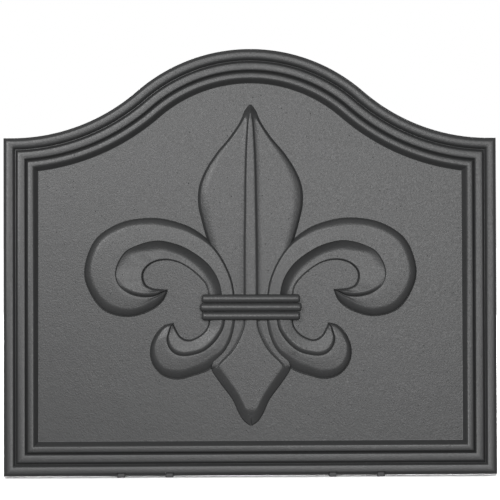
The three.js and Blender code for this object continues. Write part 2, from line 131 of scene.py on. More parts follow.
def soft_min(first: float, second: float, fillet: float) -> float:
    """The smaller of two heights, with a rounding where they meet."""
    return -soft_max(-first, -second, fillet)


def shares(count: int, power: float = 1.0, first: int = 1) -> list[float]:
    """Shares from first / count to 1, closer together near 0 if the power is above 1."""
    return [(step / count) ** power for step in range(first, count + 1)]


@dataclass(frozen=True)
class Rail:
    """A curve of the drawing through its knots.

    Attributes:
        knots: Points of the drawing, outwards and upwards from the middle of the collar.
    """

    knots: tuple[Point, ...]

    @property
    def spans(self) -> int:
        """The number of stretches between knots."""
        return len(self.knots) - 1

    def at(self, knot: float) -> Vector:
        """The point at a place along the rail.

        Args:
            knot: The place, where 0 is the first knot and 2.5 is halfway from the third to the
                fourth.

        Returns:
            The point, as a 2-D vector.
        """
        start = min(int(knot), self.spans - 1)
        share = knot - start
        second, third = Vector(self.knots[start]), Vector(self.knots[start + 1])
        first = Vector(self.knots[start - 1]) if start > 0 else 2.0 * second - third
        after = start + 2
        fourth = Vector(self.knots[after]) if after <= self.spans else 2.0 * third - second
        arriving, chord, leaving = second - first, third - second, fourth - third
        before, along, beyond = (math.sqrt(leg.length) for leg in (arriving, chord, leaving))
        along = along if along > TINY else 1.0
        before = before if before > TINY else along
        beyond = beyond if beyond > TINY else along
        leave = arriving / before - (third - first) / (before + along) + chord / along
        enter = chord / along - (fourth - second) / (along + beyond) + leaving / beyond
        leave, enter = leave * along, enter * along
        square, cube = share * share, share * share * share
        return (
            second
            + leave * share
            + (3.0 * chord - 2.0 * leave - enter) * square
            + (-2.0 * chord + leave + enter) * cube
        )

    def stations(self, per_span: int, last: float) -> list[float]:
        """Evenly spread places along the rail.

        Args:
            per_span: How many stretches each span is cut into.
            last: The share of the whole rail at which the last place lies.

        Returns:
            The places, in knots.
        """
        count = self.spans * per_span
        return [self.spans * last * i / count for i in range(count + 1)]


# ---------------------------------------------------------------- meshes


def mapped_grid(bm: bmesh.types.BMesh, columns: int, rows: int, place: Placer) -> None:
    """Adds a grid of quads and moves its corners to their places, as a sculptor would.

    Args:
        bm: The mesh that is built, with a "crest" layer.
        columns: Quads across.
        rows: Quads along.
        place: Gives the place and the crest value of each corner.
    """
    crest = bm.verts.layers.float["crest"]
    made = bmesh.ops.create_grid(bm, x_segments=columns, y_segments=rows, size=1.0)["verts"]
    for vert in made:
        column = round((vert.co.x + 1.0) / 2.0 * columns)
        row = round((vert.co.y + 1.0) / 2.0 * rows)
        vert.co, vert[crest] = place(column, row)


def new_bmesh() -> bmesh.types.BMesh:
    """Starts a mesh.

    Returns:
        An empty mesh, with the layer that tells crests from hollows.
    """
    bm = bmesh.new()
    bm.verts.layers.float.new("crest")
    return bm


def close_openings(bm: bmesh.types.BMesh) -> None:
    """Merges doubles, fills the open loops of a shell and points its faces outwards.

    Args:
        bm: The mesh of the shell.
    """
    bmesh.ops.remove_doubles(bm, verts=bm.verts, dist=MERGED)
    bmesh.ops.holes_fill(bm, edges=[e for e in bm.edges if e.is_boundary], sides=0)
    bmesh.ops.recalc_face_normals(bm, faces=bm.faces)


def edges_across(bm: bmesh.types.BMesh, axis: int) -> list[bmesh.types.BMEdge]:
    """The edges that run square to an axis (0 for x, 1 for y)."""
    return [e for e in bm.edges if abs(e.verts[0].co[axis] - e.verts[1].co[axis]) < TINY]


def round_edges(
    bm: bmesh.types.BMesh, edges: Iterable[bmesh.types.BMEdge], radius: float, steps: int
) -> None:
    """Rounds edges over.

    Args:
        bm: The mesh.
        edges: The edges to round.
        radius: How far the rounding reaches from each edge.
        steps: Faces across the rounding.
    """
    bmesh.ops.bevel(
        bm, geom=list(edges), offset=radius, offset_type="OFFSET", segments=steps, profile=0.5,
        affect="EDGES", clamp_overlap=True, material=-1,
    )


def extruded_profile(
    bm: bmesh.types.BMesh, outline: Sequence[Vector], travel: Vector
) -> list[bmesh.types.BMEdge]:
    """Draws a closed outline and extrudes it.

    Args:
        bm: The mesh.
        outline: Corners of the outline, in order.
        travel: The extrusion.

    Returns:
        The edges of the new body.
    """
    face = bm.faces.new([bm.verts.new(corner) for corner in outline])
    made = bmesh.ops.extrude_face_region(bm, geom=[face], use_keep_orig=True)["geom"]
    moved = [item for item in made if isinstance(item, bmesh.types.BMVert)]
    bmesh.ops.translate(bm, verts=moved, vec=travel)
    body = set(face.verts) | set(moved)
    return [edge for edge in bm.edges if edge.verts[0] in body and edge.verts[1] in body]


def lathe(
    bm: bmesh.types.BMesh,
    profile: Sequence[Point],
    middle: Vector,
    steps: int,
    turn: float = 2.0 * math.pi,
) -> None:
    """Spins a profile about an axis along the depth of the plate.

    Args:
        bm: The mesh.
        profile: Radii and depths behind the field.
        middle: A point of the axis.
        steps: Faces round the axis.
        turn: The angle of the spin, in radians.
    """
    verts = [bm.verts.new(middle + Vector((radius, depth, 0.0))) for radius, depth in profile]
    edges = [bm.edges.new(pair) for pair in zip(verts, verts[1:])]
    bmesh.ops.spin(
        bm, geom=verts + edges, cent=middle, axis=(0.0, 1.0, 0.0), angle=turn, steps=steps,
        use_merge=abs(turn - 2.0 * math.pi) < TINY, use_normal_flip=False, use_duplicate=False,
    )


@dataclass(frozen=True)
class Stance:
    """How the drawing stands on the hearth.

    Attributes:
        lean_degrees: How far the plate leans back.
        clearance: Lower edge of the plate above the hearth.
        thickness: Field of the plate.
        foot_reach: Back of the plate to the rear end of a foot.
    """

    lean_degrees: float = 2.0
    clearance: float = 1.2
    thickness: float = FIELD_THICKNESS
    foot_reach: float = FOOT_REACH

    @property
    def lean(self) -> float:
        """The lean in radians."""
        return math.radians(self.lean_degrees)

    def matrix(self, fit: Fit) -> Matrix:
        """The move from the drawing to the frame.

        Args:
            fit: Whether the piece leans with the plate or stands upright.

        Returns:
            The matrix, which also turns millimetres into metres.
        """
        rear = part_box("support_foot_left")[1].y / MM
        shift = Matrix.Translation((0.0, rear - self.thickness - self.foot_reach, 0.0))
        upright = Matrix.Scale(MM, 4) @ shift
        if fit is Fit.STANDING:
            return upright
        lift = self.clearance + self.thickness * math.sin(self.lean)
        return upright @ Matrix.Translation((0.0, 0.0, lift)) @ Matrix.Rotation(-self.lean, 4, "X")


@dataclass
class Workshop:
    """Turns built meshes into pieces of the object.

    Attributes:
        stance: How the drawing stands on the hearth.
        made: The names of the pieces made so far.
    """

    stance: Stance
    made: list[str] = field(default_factory=list)

    def deliver(
        self,
        bm: bmesh.types.BMesh,
        name: str,
        material: bpy.types.Material,
        stands_for: str,
        fit: Fit = Fit.LEANING,
        sharp_degrees: float = 50.0,
    ) -> bpy.types.Object:
        """Sets a mesh in its place in the frame and makes it a piece.

        Args:
            bm: The mesh, in millimetres of the drawing. It is used up.
            name: The piece's name.
            material: Its finish.
            stands_for: The CAD node that the piece stands for.
            fit: Whether it leans with the plate or stands upright.
            sharp_degrees: Edges that turn by more than this are shaded sharp.

        Returns:
            The piece.
        """
        bmesh.ops.transform(bm, matrix=self.stance.matrix(fit), verts=bm.verts)
        for face in bm.faces:
            face.smooth = True
        for edge in bm.edges:
            edge.smooth = edge.calc_face_angle(0.0) < math.radians(sharp_degrees)
        mesh = bpy.data.meshes.new(name)
        bm.to_mesh(mesh)
        bm.free()
        mesh.materials.append(material)
        piece = bpy.data.objects.new(name, mesh)
        bpy.context.scene.collection.objects.link(piece)
        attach(piece, "root")
        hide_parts(stands_for)
        self.made.append(name)
        LOG.info("%s: %d faces", name, len(mesh.polygons))
        return piece


# ---------------------------------------------------------------- finishes


class NodeSheet:
    """A material's nodes, with short calls for those that the finishes share."""

    def __init__(self, name: str) -> None:
        """Starts a material.

        Args:
            name: The material's name.
        """
        self.material = bpy.data.materials.new(name)
        self.material.use_nodes = True
        self.tree = self.material.node_tree
        self.shader = self.tree.nodes["Principled BSDF"]
        self.place = self.add("ShaderNodeTexCoord").outputs["Object"]

    def add(self, kind: str, **settings: object) -> bpy.types.Node:
        """Adds a node.

        Args:
            kind: The node's type.
            **settings: Properties to set on it.

        Returns:
            The node.
        """
        node = self.tree.nodes.new(kind)
        for key, value in settings.items():
            setattr(node, key, value)
        return node

    def feed(self, node: bpy.types.Node, socket: str | int, value: object) -> None:
        """Sets an input of a node.

        Args:
            node: The node.
            socket: The input.
            value: A value, or another node's output, which is linked.
        """
        if isinstance(value, bpy.types.NodeSocket):
            self.tree.links.new(value, node.inputs[socket])
        else:
            node.inputs[socket].default_value = value

    def stretched(self, factors: Colour) -> bpy.types.NodeSocket:
        """Stretches or squeezes the object's coordinates.

        Args:
            factors: What each coordinate is multiplied by.

        Returns:
            The new coordinates.
        """
        node = self.add("ShaderNodeMapping")
        self.feed(node, "Vector", self.place)
        self.feed(node, "Scale", factors)
        return node.outputs["Vector"]

    def noise(
        self,
        grain: float,
        detail: float = 2.0,
        roughness: float = 0.5,
        place: bpy.types.NodeSocket | None = None,
    ) -> bpy.types.NodeSocket:
        """A noise pattern.

        Args:
            grain: The size of its grains, in millimetres.
            detail: How many finer layers it has.
            roughness: How strong the finer layers are.
            place: Coordinates, if not the object's own.

        Returns:
            The pattern's output, about 0.3 to 0.7.
        """
        node = self.add("ShaderNodeTexNoise")
        self.feed(node, "Vector", place or self.place)
        self.feed(node, "Scale", 1.0 / (grain * MM))
        self.feed(node, "Detail", detail)
        self.feed(node, "Roughness", roughness)
        return node.outputs["Fac"]

    def pits(self, spacing: float, share: float) -> bpy.types.NodeSocket:
        """Small round pits.

        Args:
            spacing: Middle to middle of neighbouring pits, in millimetres.
            share: The share of the spacing that a pit takes.

        Returns:
            0 in a pit's middle and 1 outside it.
        """
        node = self.add("ShaderNodeTexVoronoi")
        self.feed(node, "Vector", self.place)
        self.feed(node, "Scale", 1.0 / (spacing * MM))
        return self.spread(node.outputs["Distance"], 0.0, 1.0, 0.0, share)

    def spread(
        self,
        value: bpy.types.NodeSocket,
        low: float,
        high: float,
        start: float = 0.35,
        end: float = 0.65,
    ) -> bpy.types.NodeSocket:
        """Maps one range of a pattern onto another.

        Args:
            value: The pattern.
            low: What the start becomes.
            high: What the end becomes.
            start: Start of the pattern's range.
            end: End of the pattern's range.

        Returns:
            The mapped pattern.
        """
        node = self.add("ShaderNodeMapRange")
        self.feed(node, "Value", value)
        self.feed(node, "From Min", start)
        self.feed(node, "From Max", end)
        self.feed(node, "To Min", low)
        self.feed(node, "To Max", high)
        return node.outputs["Result"]

    def blend(
        self, share: bpy.types.NodeSocket, first: object, second: object
    ) -> bpy.types.NodeSocket:
        """Mixes two colours.

        Args:
            share: How much of the second one there is.
            first: A colour, or an output that gives one.
            second: Another one.

        Returns:
            The mixed colour.
        """
        node = self.add("ShaderNodeMix", data_type="RGBA")
        self.feed(node, "Factor", share)
        # The node has an A, a B and a Result for each kind of data. These are the colours' places.
        colour_a, colour_b, colour_result = 6, 7, 2
        for socket, colour in ((colour_a, first), (colour_b, second)):
            linked = isinstance(colour, bpy.types.NodeSocket)
            self.feed(node, socket, colour if linked else (*colour, 1.0))
        return node.outputs[colour_result]

    def bump(
        self, height: bpy.types.NodeSocket, depth: float, under: bpy.types.NodeSocket | None = None
    ) -> bpy.types.NodeSocket:
        """Turns a pattern into relief.

        Args:
            height: The pattern.
            depth: How deep a pattern of 0 lies below one of 1, in millimetres.
            under: The relief that this one lies on.

        Returns:
            The bent normal.
        """
        node = self.add("ShaderNodeBump")
        self.feed(node, "Height", height)
        self.feed(node, "Distance", depth * MM)
        if under is not None:
            self.feed(node, "Normal", under)
        return node.outputs["Normal"]


@dataclass(frozen=True)
class PaintedCasting:
    """Satin stove paint over sand-cast iron.

    Attributes:
        name: The material's name.
        hollow: Paint in the hollows, darker than on the crests as painted shade.
        crest: Paint on the crests, lighter as a painted highlight and as rubbed wear.
        sheen: Lowest and highest roughness.
        grain: Size of the sand's grains.
        grain_depth: Depth of the print that the sand leaves.
        swell: Depth of the slow unevenness of the mould.
        swell_size: Size of that unevenness.
        lump_size: Size of the lumps between the grains and the unevenness.
        cloud_size: Size of the clouds in the paint.
        pit_spacing: Middle to middle of the pits.
        pit_share: The share of the spacing that a pit takes.
    """

    name: str
    hollow: Colour
    crest: Colour
    sheen: Point
    grain: float
    grain_depth: float
    swell: float
    swell_size: float = 38.0
    lump_size: float = 6.5
    cloud_size: float = 14.0
    pit_spacing: float = 7.0
    pit_share: float = 0.09

    def material(self) -> bpy.types.Material:
        """Builds the material.

        Returns:
            The paint.
        """
        sheet = NodeSheet(self.name)
        mottle = sheet.noise(self.cloud_size, 4.0, 0.6)
        speck = sheet.noise(self.grain * 1.7, 3.0, 0.7)
        # The crest layer blends the hollows' paint into the crests' paint: painted shade in the
        # hollows, a painted highlight with rubbed wear on the crests.
        crest = sheet.add("ShaderNodeAttribute", attribute_name="crest").outputs["Fac"]
        paint = sheet.blend(sheet.spread(crest, 0.0, 1.0, 0.0, 1.0), self.hollow, self.crest)
        darker = tuple(0.8 * part for part in self.hollow)
        clouded = sheet.blend(sheet.spread(mottle, 0.2, 0.0), paint, darker)
        lighter = tuple(1.3 * part for part in self.crest)
        speckled = sheet.blend(sheet.spread(speck, 0.0, 0.4), clouded, lighter)
        sheet.feed(sheet.shader, "Base Color", speckled)
        sheen = sheet.noise(self.grain * 1.1, 4.0, 0.8)
        sheet.feed(sheet.shader, "Roughness", sheet.spread(sheen, *self.sheen))
        swell = sheet.bump(sheet.noise(self.swell_size, 1.0), self.swell)
        lumps = sheet.bump(sheet.noise(self.lump_size, 2.0), self.grain_depth * 0.5, swell)
        sand = sheet.bump(sheet.noise(self.grain, 3.0, 0.6), self.grain_depth, lumps)
        pits = sheet.pits(self.pit_spacing, self.pit_share)
        pitted = sheet.bump(pits, self.grain_depth * 1.2, sand)
        sheet.feed(sheet.shader, "Normal", pitted)
        return sheet.material


@dataclass(frozen=True)
class FastenerSteel:
    """Steel of a bolt or a washer.

    Attributes:
        name: The material's name.
        bright: Colour of the bare high places.
        dull: Colour of the coating or the oil in the low places.
        sheen: Lowest and highest roughness.
        metallic: How metallic the surface is.
        marks: Depth of the marks that the tools leave.
        cloud_size: Size of the worn and the coated places.
        stroke_size: Width of the tools' strokes.
    """

    name: str
    bright: Colour
    dull: Colour
    sheen: Point
    metallic: float
    marks: float = 0.03
    cloud_size: float = 2.4
    stroke_size: float = 0.5

    def material(self) -> bpy.types.Material:
        """Builds the material.

        Returns:
            The steel.
        """
        sheet = NodeSheet(self.name)
        cloud = sheet.noise(self.cloud_size, 4.0, 0.6)
        strokes = sheet.noise(self.stroke_size, 2.0, 0.5, sheet.stretched((0.12, 1.0, 1.0)))
        colour = sheet.blend(sheet.spread(cloud, 0.0, 1.0), self.dull, self.bright)
        sheet.feed(sheet.shader, "Base Color", colour)
        sheet.feed(sheet.shader, "Metallic", self.metallic)
        sheet.feed(sheet.shader, "Roughness", sheet.spread(cloud, self.sheen[1], self.sheen[0]))
        worn = sheet.bump(sheet.noise(1.1, 2.0), self.marks)
        sheet.feed(sheet.shader, "Normal", sheet.bump(strokes, self.marks * 0.6, worn))
        return sheet.material


@dataclass(frozen=True)
class StudioFloor:
    """Pale matt floor.

    Attributes:
        name: The material's name.
        tone: Its colour.
        cloud_size: Size of its faint clouds.
    """

    name: str = "pale_floor"
    tone: Colour = (0.86, 0.86, 0.86)
    cloud_size: float = 90.0

    def material(self) -> bpy.types.Material:
        """Builds the material.

        Returns:
            The floor's finish.
        """
        sheet = NodeSheet(self.name)
        shade = tuple(0.97 * part for part in self.tone)
        clouded = sheet.blend(sheet.noise(self.cloud_size), shade, self.tone)
        sheet.feed(sheet.shader, "Base Color", clouded)
        sheet.feed(sheet.shader, "Roughness", 0.85)
        sheet.feed(sheet.shader, "Specular IOR Level", 0.15)
        return sheet.material


# ---------------------------------------------------------------- plate and frame


@dataclass(frozen=True)
class Reed:
    """One rib of the frame: a gently domed crest between two steep flanks.

    Attributes:
        outer: Where its outer flank starts, inside the plate's outline.
        crest: Where it is highest.
        inner: Where its inner flank ends.
        height: Its height above the field.
        outer_slope: Steepness of the outer flank, as rise over run.
        inner_slope: Steepness of the inner flank.
        rounding: Fillet between the crest and the flanks.
        dome: How far the crest falls at 1 mm from its middle.
    """

    outer: float
    crest: float
    inner: float
    height: float
    outer_slope: float
    inner_slope: float
    rounding: float
    dome: float

    def rise(self, inset: float) -> float:
        """The reed's height above the field.

        Args:
            inset: Distance inside the outline.

        Returns:
            The height, below 0 outside the reed.
        """
        crown = self.height - self.dome * (inset - self.crest) ** 2
        outer_flank = (inset - self.outer) * self.outer_slope
        inner_flank = (self.inner - inset) * self.inner_slope
        return soft_min(crown, min(outer_flank, inner_flank), self.rounding)


@dataclass
class PlateCasting:
    """The plate: outline, frame of reeds, field, back and bosses.

    Attributes:
        width: Width at the sides.
        shoulder_height: Lower edge to the square shoulders.
        crown_rise: Shoulders to the top of the arch.
        shoulder_flat: Level stretch beside each shoulder.
        hollow_radius: Radius of the ogee's hollow part.
        thickness: Thickness of the field.
        frame_width: Outline to the field's edge.
        reeds: The reeds, from the outline inwards.
        fillet: Rounding in the grooves.
        fade: Where the moulding runs out, before and after the field's edge.
        back_edge: Rounding of the back edge.
        front_start: Inset of the moulding's first line.
        front_edge: Points of the rounding outside that line: insets, depths below the line, and
            how much of a crest they are.
        arch_steps: Sections over the arch.
        moulding_steps: Lines along the moulding.
        back_crest: How much of a crest the back is, for the paint.
        field_crest: How much of a crest the field is.
        boss_radius: Face of a boss.
        boss_height: Boss above the back.
        boss_draft: How much wider a boss's foot is.
        boss_root: How deep a boss is rooted in the plate.
        foot_offset: Centre line to the middle of each foot.
        notch: Half width and height of the notches for the feet's toes.
        notch_length: Depth of the block that cuts them.
        cheek_spacing: Middle to middle of a foot's cheeks.
    """

    width: float = 508.0
    shoulder_height: float = 347.5
    crown_rise: float = 92.0
    shoulder_flat: float = 8.0
    hollow_radius: float = 197.0
    thickness: float = FIELD_THICKNESS
    frame_width: float = 35.5
    reeds: tuple[Reed, ...] = (
        Reed(-0.6, 6.0, 13.0, 5.6, 1.5, 1.7, 1.4, 0.05),
        Reed(11.5, 18.2, 24.7, 6.0, 1.7, 2.1, 1.1, 0.035),
        Reed(22.2, 28.5, 35.4, 6.6, 2.0, 1.4, 1.3, 0.05),
    )
    fillet: float = 0.35
    fade: Point = (0.6, 0.9)
    back_edge: float = 1.2
    front_start: float = 0.4
    front_edge: tuple[Place, ...] = ((0.0, 0.9, 0.7), (0.08, 0.35, 0.9))
    arch_steps: int = 120
    moulding_steps: int = 108
    back_crest: float = 0.5
    field_crest: float = 0.45
    boss_radius: float = 14.0
    boss_height: float = BOSS_HEIGHT
    boss_draft: float = 1.5
    boss_root: float = 3.0
    foot_offset: float = FOOT_OFFSET
    notch: Point = (4.3, 5.5)
    notch_length: float = 60.0
    cheek_spacing: float = CHEEK_SPACING

    def arch_height(self, x: float, inset: float) -> float:
        """The height of the arch on the curve that runs parallel to the outline.

        Args:
            x: Distance from the centre line.
            inset: Distance inside the outline.

        Returns:
            The height above the lower edge.
        """
        shoulder = self.width / 2.0 - self.shoulder_flat
        turn = 2.0 * math.atan2(self.crown_rise, shoulder)
        crown = shoulder / math.sin(turn) - self.hollow_radius
        hollow = self.hollow_radius + inset
        distance = abs(x)
        if distance >= shoulder:
            return self.shoulder_height - inset
        if distance > shoulder - hollow * math.sin(turn):
            drop = math.sqrt(hollow**2 - (shoulder - distance) ** 2)
            return self.shoulder_height + self.hollow_radius - drop
        top = self.shoulder_height + self.crown_rise - crown
        return top + math.sqrt((crown - inset) ** 2 - distance**2)

    def moulding(self, inset: float) -> float:
        """The front's height above the field.

        Args:
            inset: Distance inside the outline.

        Returns:
            The height: the reeds, and 0 between them and on the field.
        """
        height = 0.0
        for reed in self.reeds:
            height = soft_max(height, reed.rise(inset), self.fillet)
        start, end = self.frame_width - self.fade[0], self.frame_width + self.fade[1]
        return height * (1.0 - smoothstep(inset, start, end))

    def profile(self) -> list[Place]:
        """The section of the frame from the back over the edge to the field.

        Returns:
            Insets, heights above the field, and how much of a crest each point is.
        """
        radius, rim = self.back_edge, self.frame_width
        section = []
        for share in shares(4, first=0):
            angle = math.pi / 2.0 * share
            depth = radius * (1.0 - math.cos(angle)) - self.thickness
            section.append((radius * (1.0 - math.sin(angle)), depth, self.back_crest))
        arris = self.moulding(self.front_start)
        section += [(inset, arris - depth, crest) for inset, depth, crest in self.front_edge]
        highest = max(reed.height for reed in self.reeds)
        for share in shares(self.moulding_steps, first=0):
            inset = lerp(self.front_start, rim + 1.0, share)
            height = self.moulding(inset)
            # Paint lightens towards each reed's crest, as a painted highlight and rubbed wear, and
            # darkens in the grooves as painted shade; the field takes a middle value.
            worn = smoothstep(height, 0.45 * highest, highest) if inset < rim else self.field_crest
            field_paint = self.field_crest * smoothstep(inset, rim - 1.5, rim + 0.5)
            section.append((inset, height, max(worn, field_paint)))
        return section

    def station(self, row: int, inset: float) -> Point:
        """The place of one section along the outline.

        Args:
            row: 0 and 1 are the lower corners, and the rest go over the arch to the left.
            inset: Distance inside the outline.

        Returns:
            x and z.
        """
        side = self.width / 2.0 - inset
        if row < 2:
            return (side if row else -side), inset
        x = side * (1.0 - 2.0 * (row - 2) / self.arch_steps)
        return x, self.arch_height(x, inset)

    def shell(self) -> bmesh.types.BMesh:
        """Builds the plate without its bosses.

        Returns:
            Its closed mesh.
        """
        bm = new_bmesh()
        section = self.profile()
        corners = self.arch_steps + 3

        def place(column: int, row: int) -> tuple[Vector, float]:
            """Sets a point of the section at a station.

            Args:
                column: The point's number in the section.
                row: The station's number.

            Returns:
                The place and the crest value.
            """
            inset, height, crest = section[column]
            x, z = self.station(row % corners, inset)
            return Vector((x, -height, z)), crest

        mapped_grid(bm, len(section) - 1, corners, place)
        close_openings(bm)
        return bm

    def add_bosses(self, bm: bmesh.types.BMesh) -> None:
        """Adds the four bosses with their drafts and roundings.

        Args:
            bm: The mesh that they go into.
        """
        back, face = self.thickness, self.thickness + self.boss_height
        foot, top = self.boss_radius + self.boss_draft, self.boss_radius
        buried = [(0.0, back - self.boss_root), (foot + 2.2, back - self.boss_root)]
        fillet = [(foot + 2.2, back - 0.02), (foot + 1.2, back + 0.2), (foot + 0.4, back + 0.7)]
        draft = [(foot, back + 1.5), (top + 0.35, face - 0.9)]
        rim = [(top - 0.05, face - 0.25), (top - 0.7, face), (0.0, face)]
        for side in Side:
            for level in Level:
                middle = Vector((side.value * self.foot_offset, 0.0, level.value))
                lathe(bm, buried + fillet + draft + rim, middle, steps=56)

    def cut_notches(self, plate: bpy.types.Object, stance: Stance) -> None:
        """Cuts the notches for the feet's toes into the lower edge.

        Args:
            plate: The finished plate.
            stance: How it stands, because the notches are level with the hearth.
        """
        half, top = self.notch
        bm = bmesh.new()
        for side in Side:
            for cheek in (-0.5, 0.5):
                cube = bmesh.ops.create_cube(bm, size=1.0)["verts"]
                bmesh.ops.scale(bm, vec=(2.0 * half, self.notch_length, 2.0 * top), verts=cube)
                middle = side.value * self.foot_offset + cheek * self.cheek_spacing
                bmesh.ops.translate(bm, vec=(middle, 0.0, 0.0), verts=cube)
        bmesh.ops.transform(bm, matrix=stance.matrix(Fit.STANDING), verts=bm.verts)
        mesh = bpy.data.meshes.new("toe_notches")
        bm.to_mesh(mesh)
        bm.free()
        cutter = bpy.data.objects.new("toe_notches", mesh)
        bpy.context.scene.collection.objects.link(cutter)
        cut = plate.modifiers.new("toe_notches", "BOOLEAN")
        cut.operation, cut.solver, cut.object = "DIFFERENCE", "EXACT", cutter
        graph = bpy.context.evaluated_depsgraph_get()
        done = bpy.data.meshes.new_from_object(plate.evaluated_get(graph))
        plate.modifiers.remove(cut)
        plate.data = done
        bpy.data.objects.remove(cutter)

    def build(self, shop: Workshop, finish: bpy.types.Material) -> None:
        """Builds the plate and hands it over.

        Args:
            shop: The workshop.
            finish: The casting's material.
        """
        slot, node = "casting", "fireback_plate"
        plate = shop.deliver(self.shell(), "plate_with_reeded_frame", finish, node)
        self.cut_notches(plate, shop.stance)
        bosses = new_bmesh()
        self.add_bosses(bosses)
        close_openings(bosses)
        shop.deliver(bosses, "rear_bosses", finish, node, sharp_degrees=60.0)


# ---------------------------------------------------------------- fleur-de-lis


# Shares and powers that every leaf section has in common.
EDGE_SHARE = 0.93  # height of an outer fold where the rounding at its edge ends
WALL_SHARE = 0.12  # of that rounding's width, taken by the steep wall
ROOM_SHARE = 0.94  # of a fold's width, the most that its roundings take
STEP_SLANT = 0.6  # width of the step beside the crease, for each millimetre of its depth
CREASE_POWER = 2.1  # how soon a fold is at its own height beside the crease


@dataclass(frozen=True)
class LeafSection:
    """The shape of a leaf across its width at one place along it.

    Attributes:
        knot: The place along the leaf's rails.
        outer: Height of the outer fold.
        outer_roll: Width of its rounding at the outer edge.
        outer_wall: Share of its height that a short steep wall at the edge takes.
        crease: Height of the line between the folds: an arris if high, a valley if low.
        outer_dip: Width of the outer fold's fall to the crease.
        step: Depth of the steep step on the inner side of the crease.
        inner_fall: Width of the inner fold's rise or fall beside that step.
        inner: Height of the inner fold beside that.
        inner_roll: Width of its rounding at the eye.
        eye: Its height where that rounding starts.
    """

    knot: float
    outer: float
    outer_roll: float
    outer_wall: float
    crease: float
    outer_dip: float
    step: float
    inner_fall: float
    inner: float
    inner_roll: float
    eye: float

    def towards(self, other: "LeafSection", share: float) -> "LeafSection":
        """A section between this one and another.

        Args:
            other: The other section.
            share: The share of the way to it.

        Returns:
            The section.
        """
        mine, theirs = vars(self).values(), vars(other).values()
        return LeafSection(*(lerp(a, b, share) for a, b in zip(mine, theirs)))

    def edge_rise(self, share: float) -> float:
        """The rise of the outer fold from its edge: a short steep wall and then a rounding."""
        wall = 1.0 - (1.0 - min(share / WALL_SHARE, 1.0)) ** 2
        return lerp(1.0 - (1.0 - share) ** 2, wall, self.outer_wall)

    @staticmethod
    def beside_crease(crease: float, level: float, share: float) -> float:
        """The height near the crease on a fold.

        Args:
            crease: The height at the crease.
            level: The fold's own height.
            share: 0 at the crease and 1 where the fold has its own height.

        Returns:
            The height: a hollow sweep below an arris, or a rounding down into a valley.
        """
        return level + (crease - level) * (1.0 - share) ** CREASE_POWER

    def across_outer(self, width: float) -> list[Point]:
        """The outer fold: its rounding, its back and its fall to the crease.

        Args:
            width: Outer edge to the crease.

        Returns:
            Shares of the width, and heights.
        """
        squeeze = min(1.0, ROOM_SHARE * width / (self.outer_roll + self.outer_dip))
        roll, dip = self.outer_roll * squeeze, self.outer_dip * squeeze
        flat = width - roll - dip
        points = []
        for share in shares(14, power=1.4, first=0):
            height = self.outer * EDGE_SHARE * self.edge_rise(share)
            points.append((roll * share / width, height))
        for share in shares(5):
            rise = lerp(EDGE_SHARE, 1.0, math.sin(share * math.pi / 2.0))
            points.append(((roll + flat * share) / width, self.outer * rise))
        for nearness in shares(6, power=0.75):
            away = 1.0 - nearness
            height = self.beside_crease(self.crease, self.outer, away)
            points.append(((width - dip * away) / width, height))
        return points

    def across_inner(self, width: float) -> list[Point]:
        """The inner fold: its step, its rise or fall, its floor and its rounding at the eye.

        Args:
            width: Crease to the eye edge.

        Returns:
            Shares of the width, and heights.
        """
        squeeze = min(1.0, ROOM_SHARE * width / (self.step + self.inner_fall + self.inner_roll))
        wall = squeeze * (STEP_SLANT * self.step)
        fall, roll = squeeze * self.inner_fall, squeeze * self.inner_roll
        flat = width - (fall + wall) - roll
        points = []
        for share in shares(3):
            points.append((wall * share / width, self.crease - self.step * share))
        for share in shares(10, power=1.3):
            height = self.beside_crease(self.crease - self.step, self.inner, share)
            points.append(((wall + fall * share) / width, height))
        for share in shares(8):
            points.append(((fall + wall + flat * share) / width, lerp(self.inner, self.eye, share)))
        for share in shares(8):
            angle = math.pi / 2.0 * (1.0 - share)
            at = width - roll * (1.0 - math.cos(angle))
            points.append((at / width, self.eye * math.sin(angle)))
        return points


@dataclass(frozen=True)
class Leaf:
    """A leaf of the ornament, between three rails.

    Attributes:
        name: The leaf's name.
        outer: Its outer edge.
        crease: The line between its two folds.
        eye: Its inner edge, round the eye of the curl.
        sections: Its shape at places along it, from the collar to the tip.
    """

    name: str
    outer: Rail
    crease: Rail
    eye: Rail
    sections: tuple[LeafSection, ...]

    def section_at(self, knot: float) -> LeafSection:
        """The leaf's section at a place along it.

        Args:
            knot: The place along its rails.

        Returns:
            The section.
        """
        for before, after in zip(self.sections, self.sections[1:]):
            if knot <= after.knot:
                return before.towards(after, smoothstep(knot, before.knot, after.knot))
        return self.sections[-1]


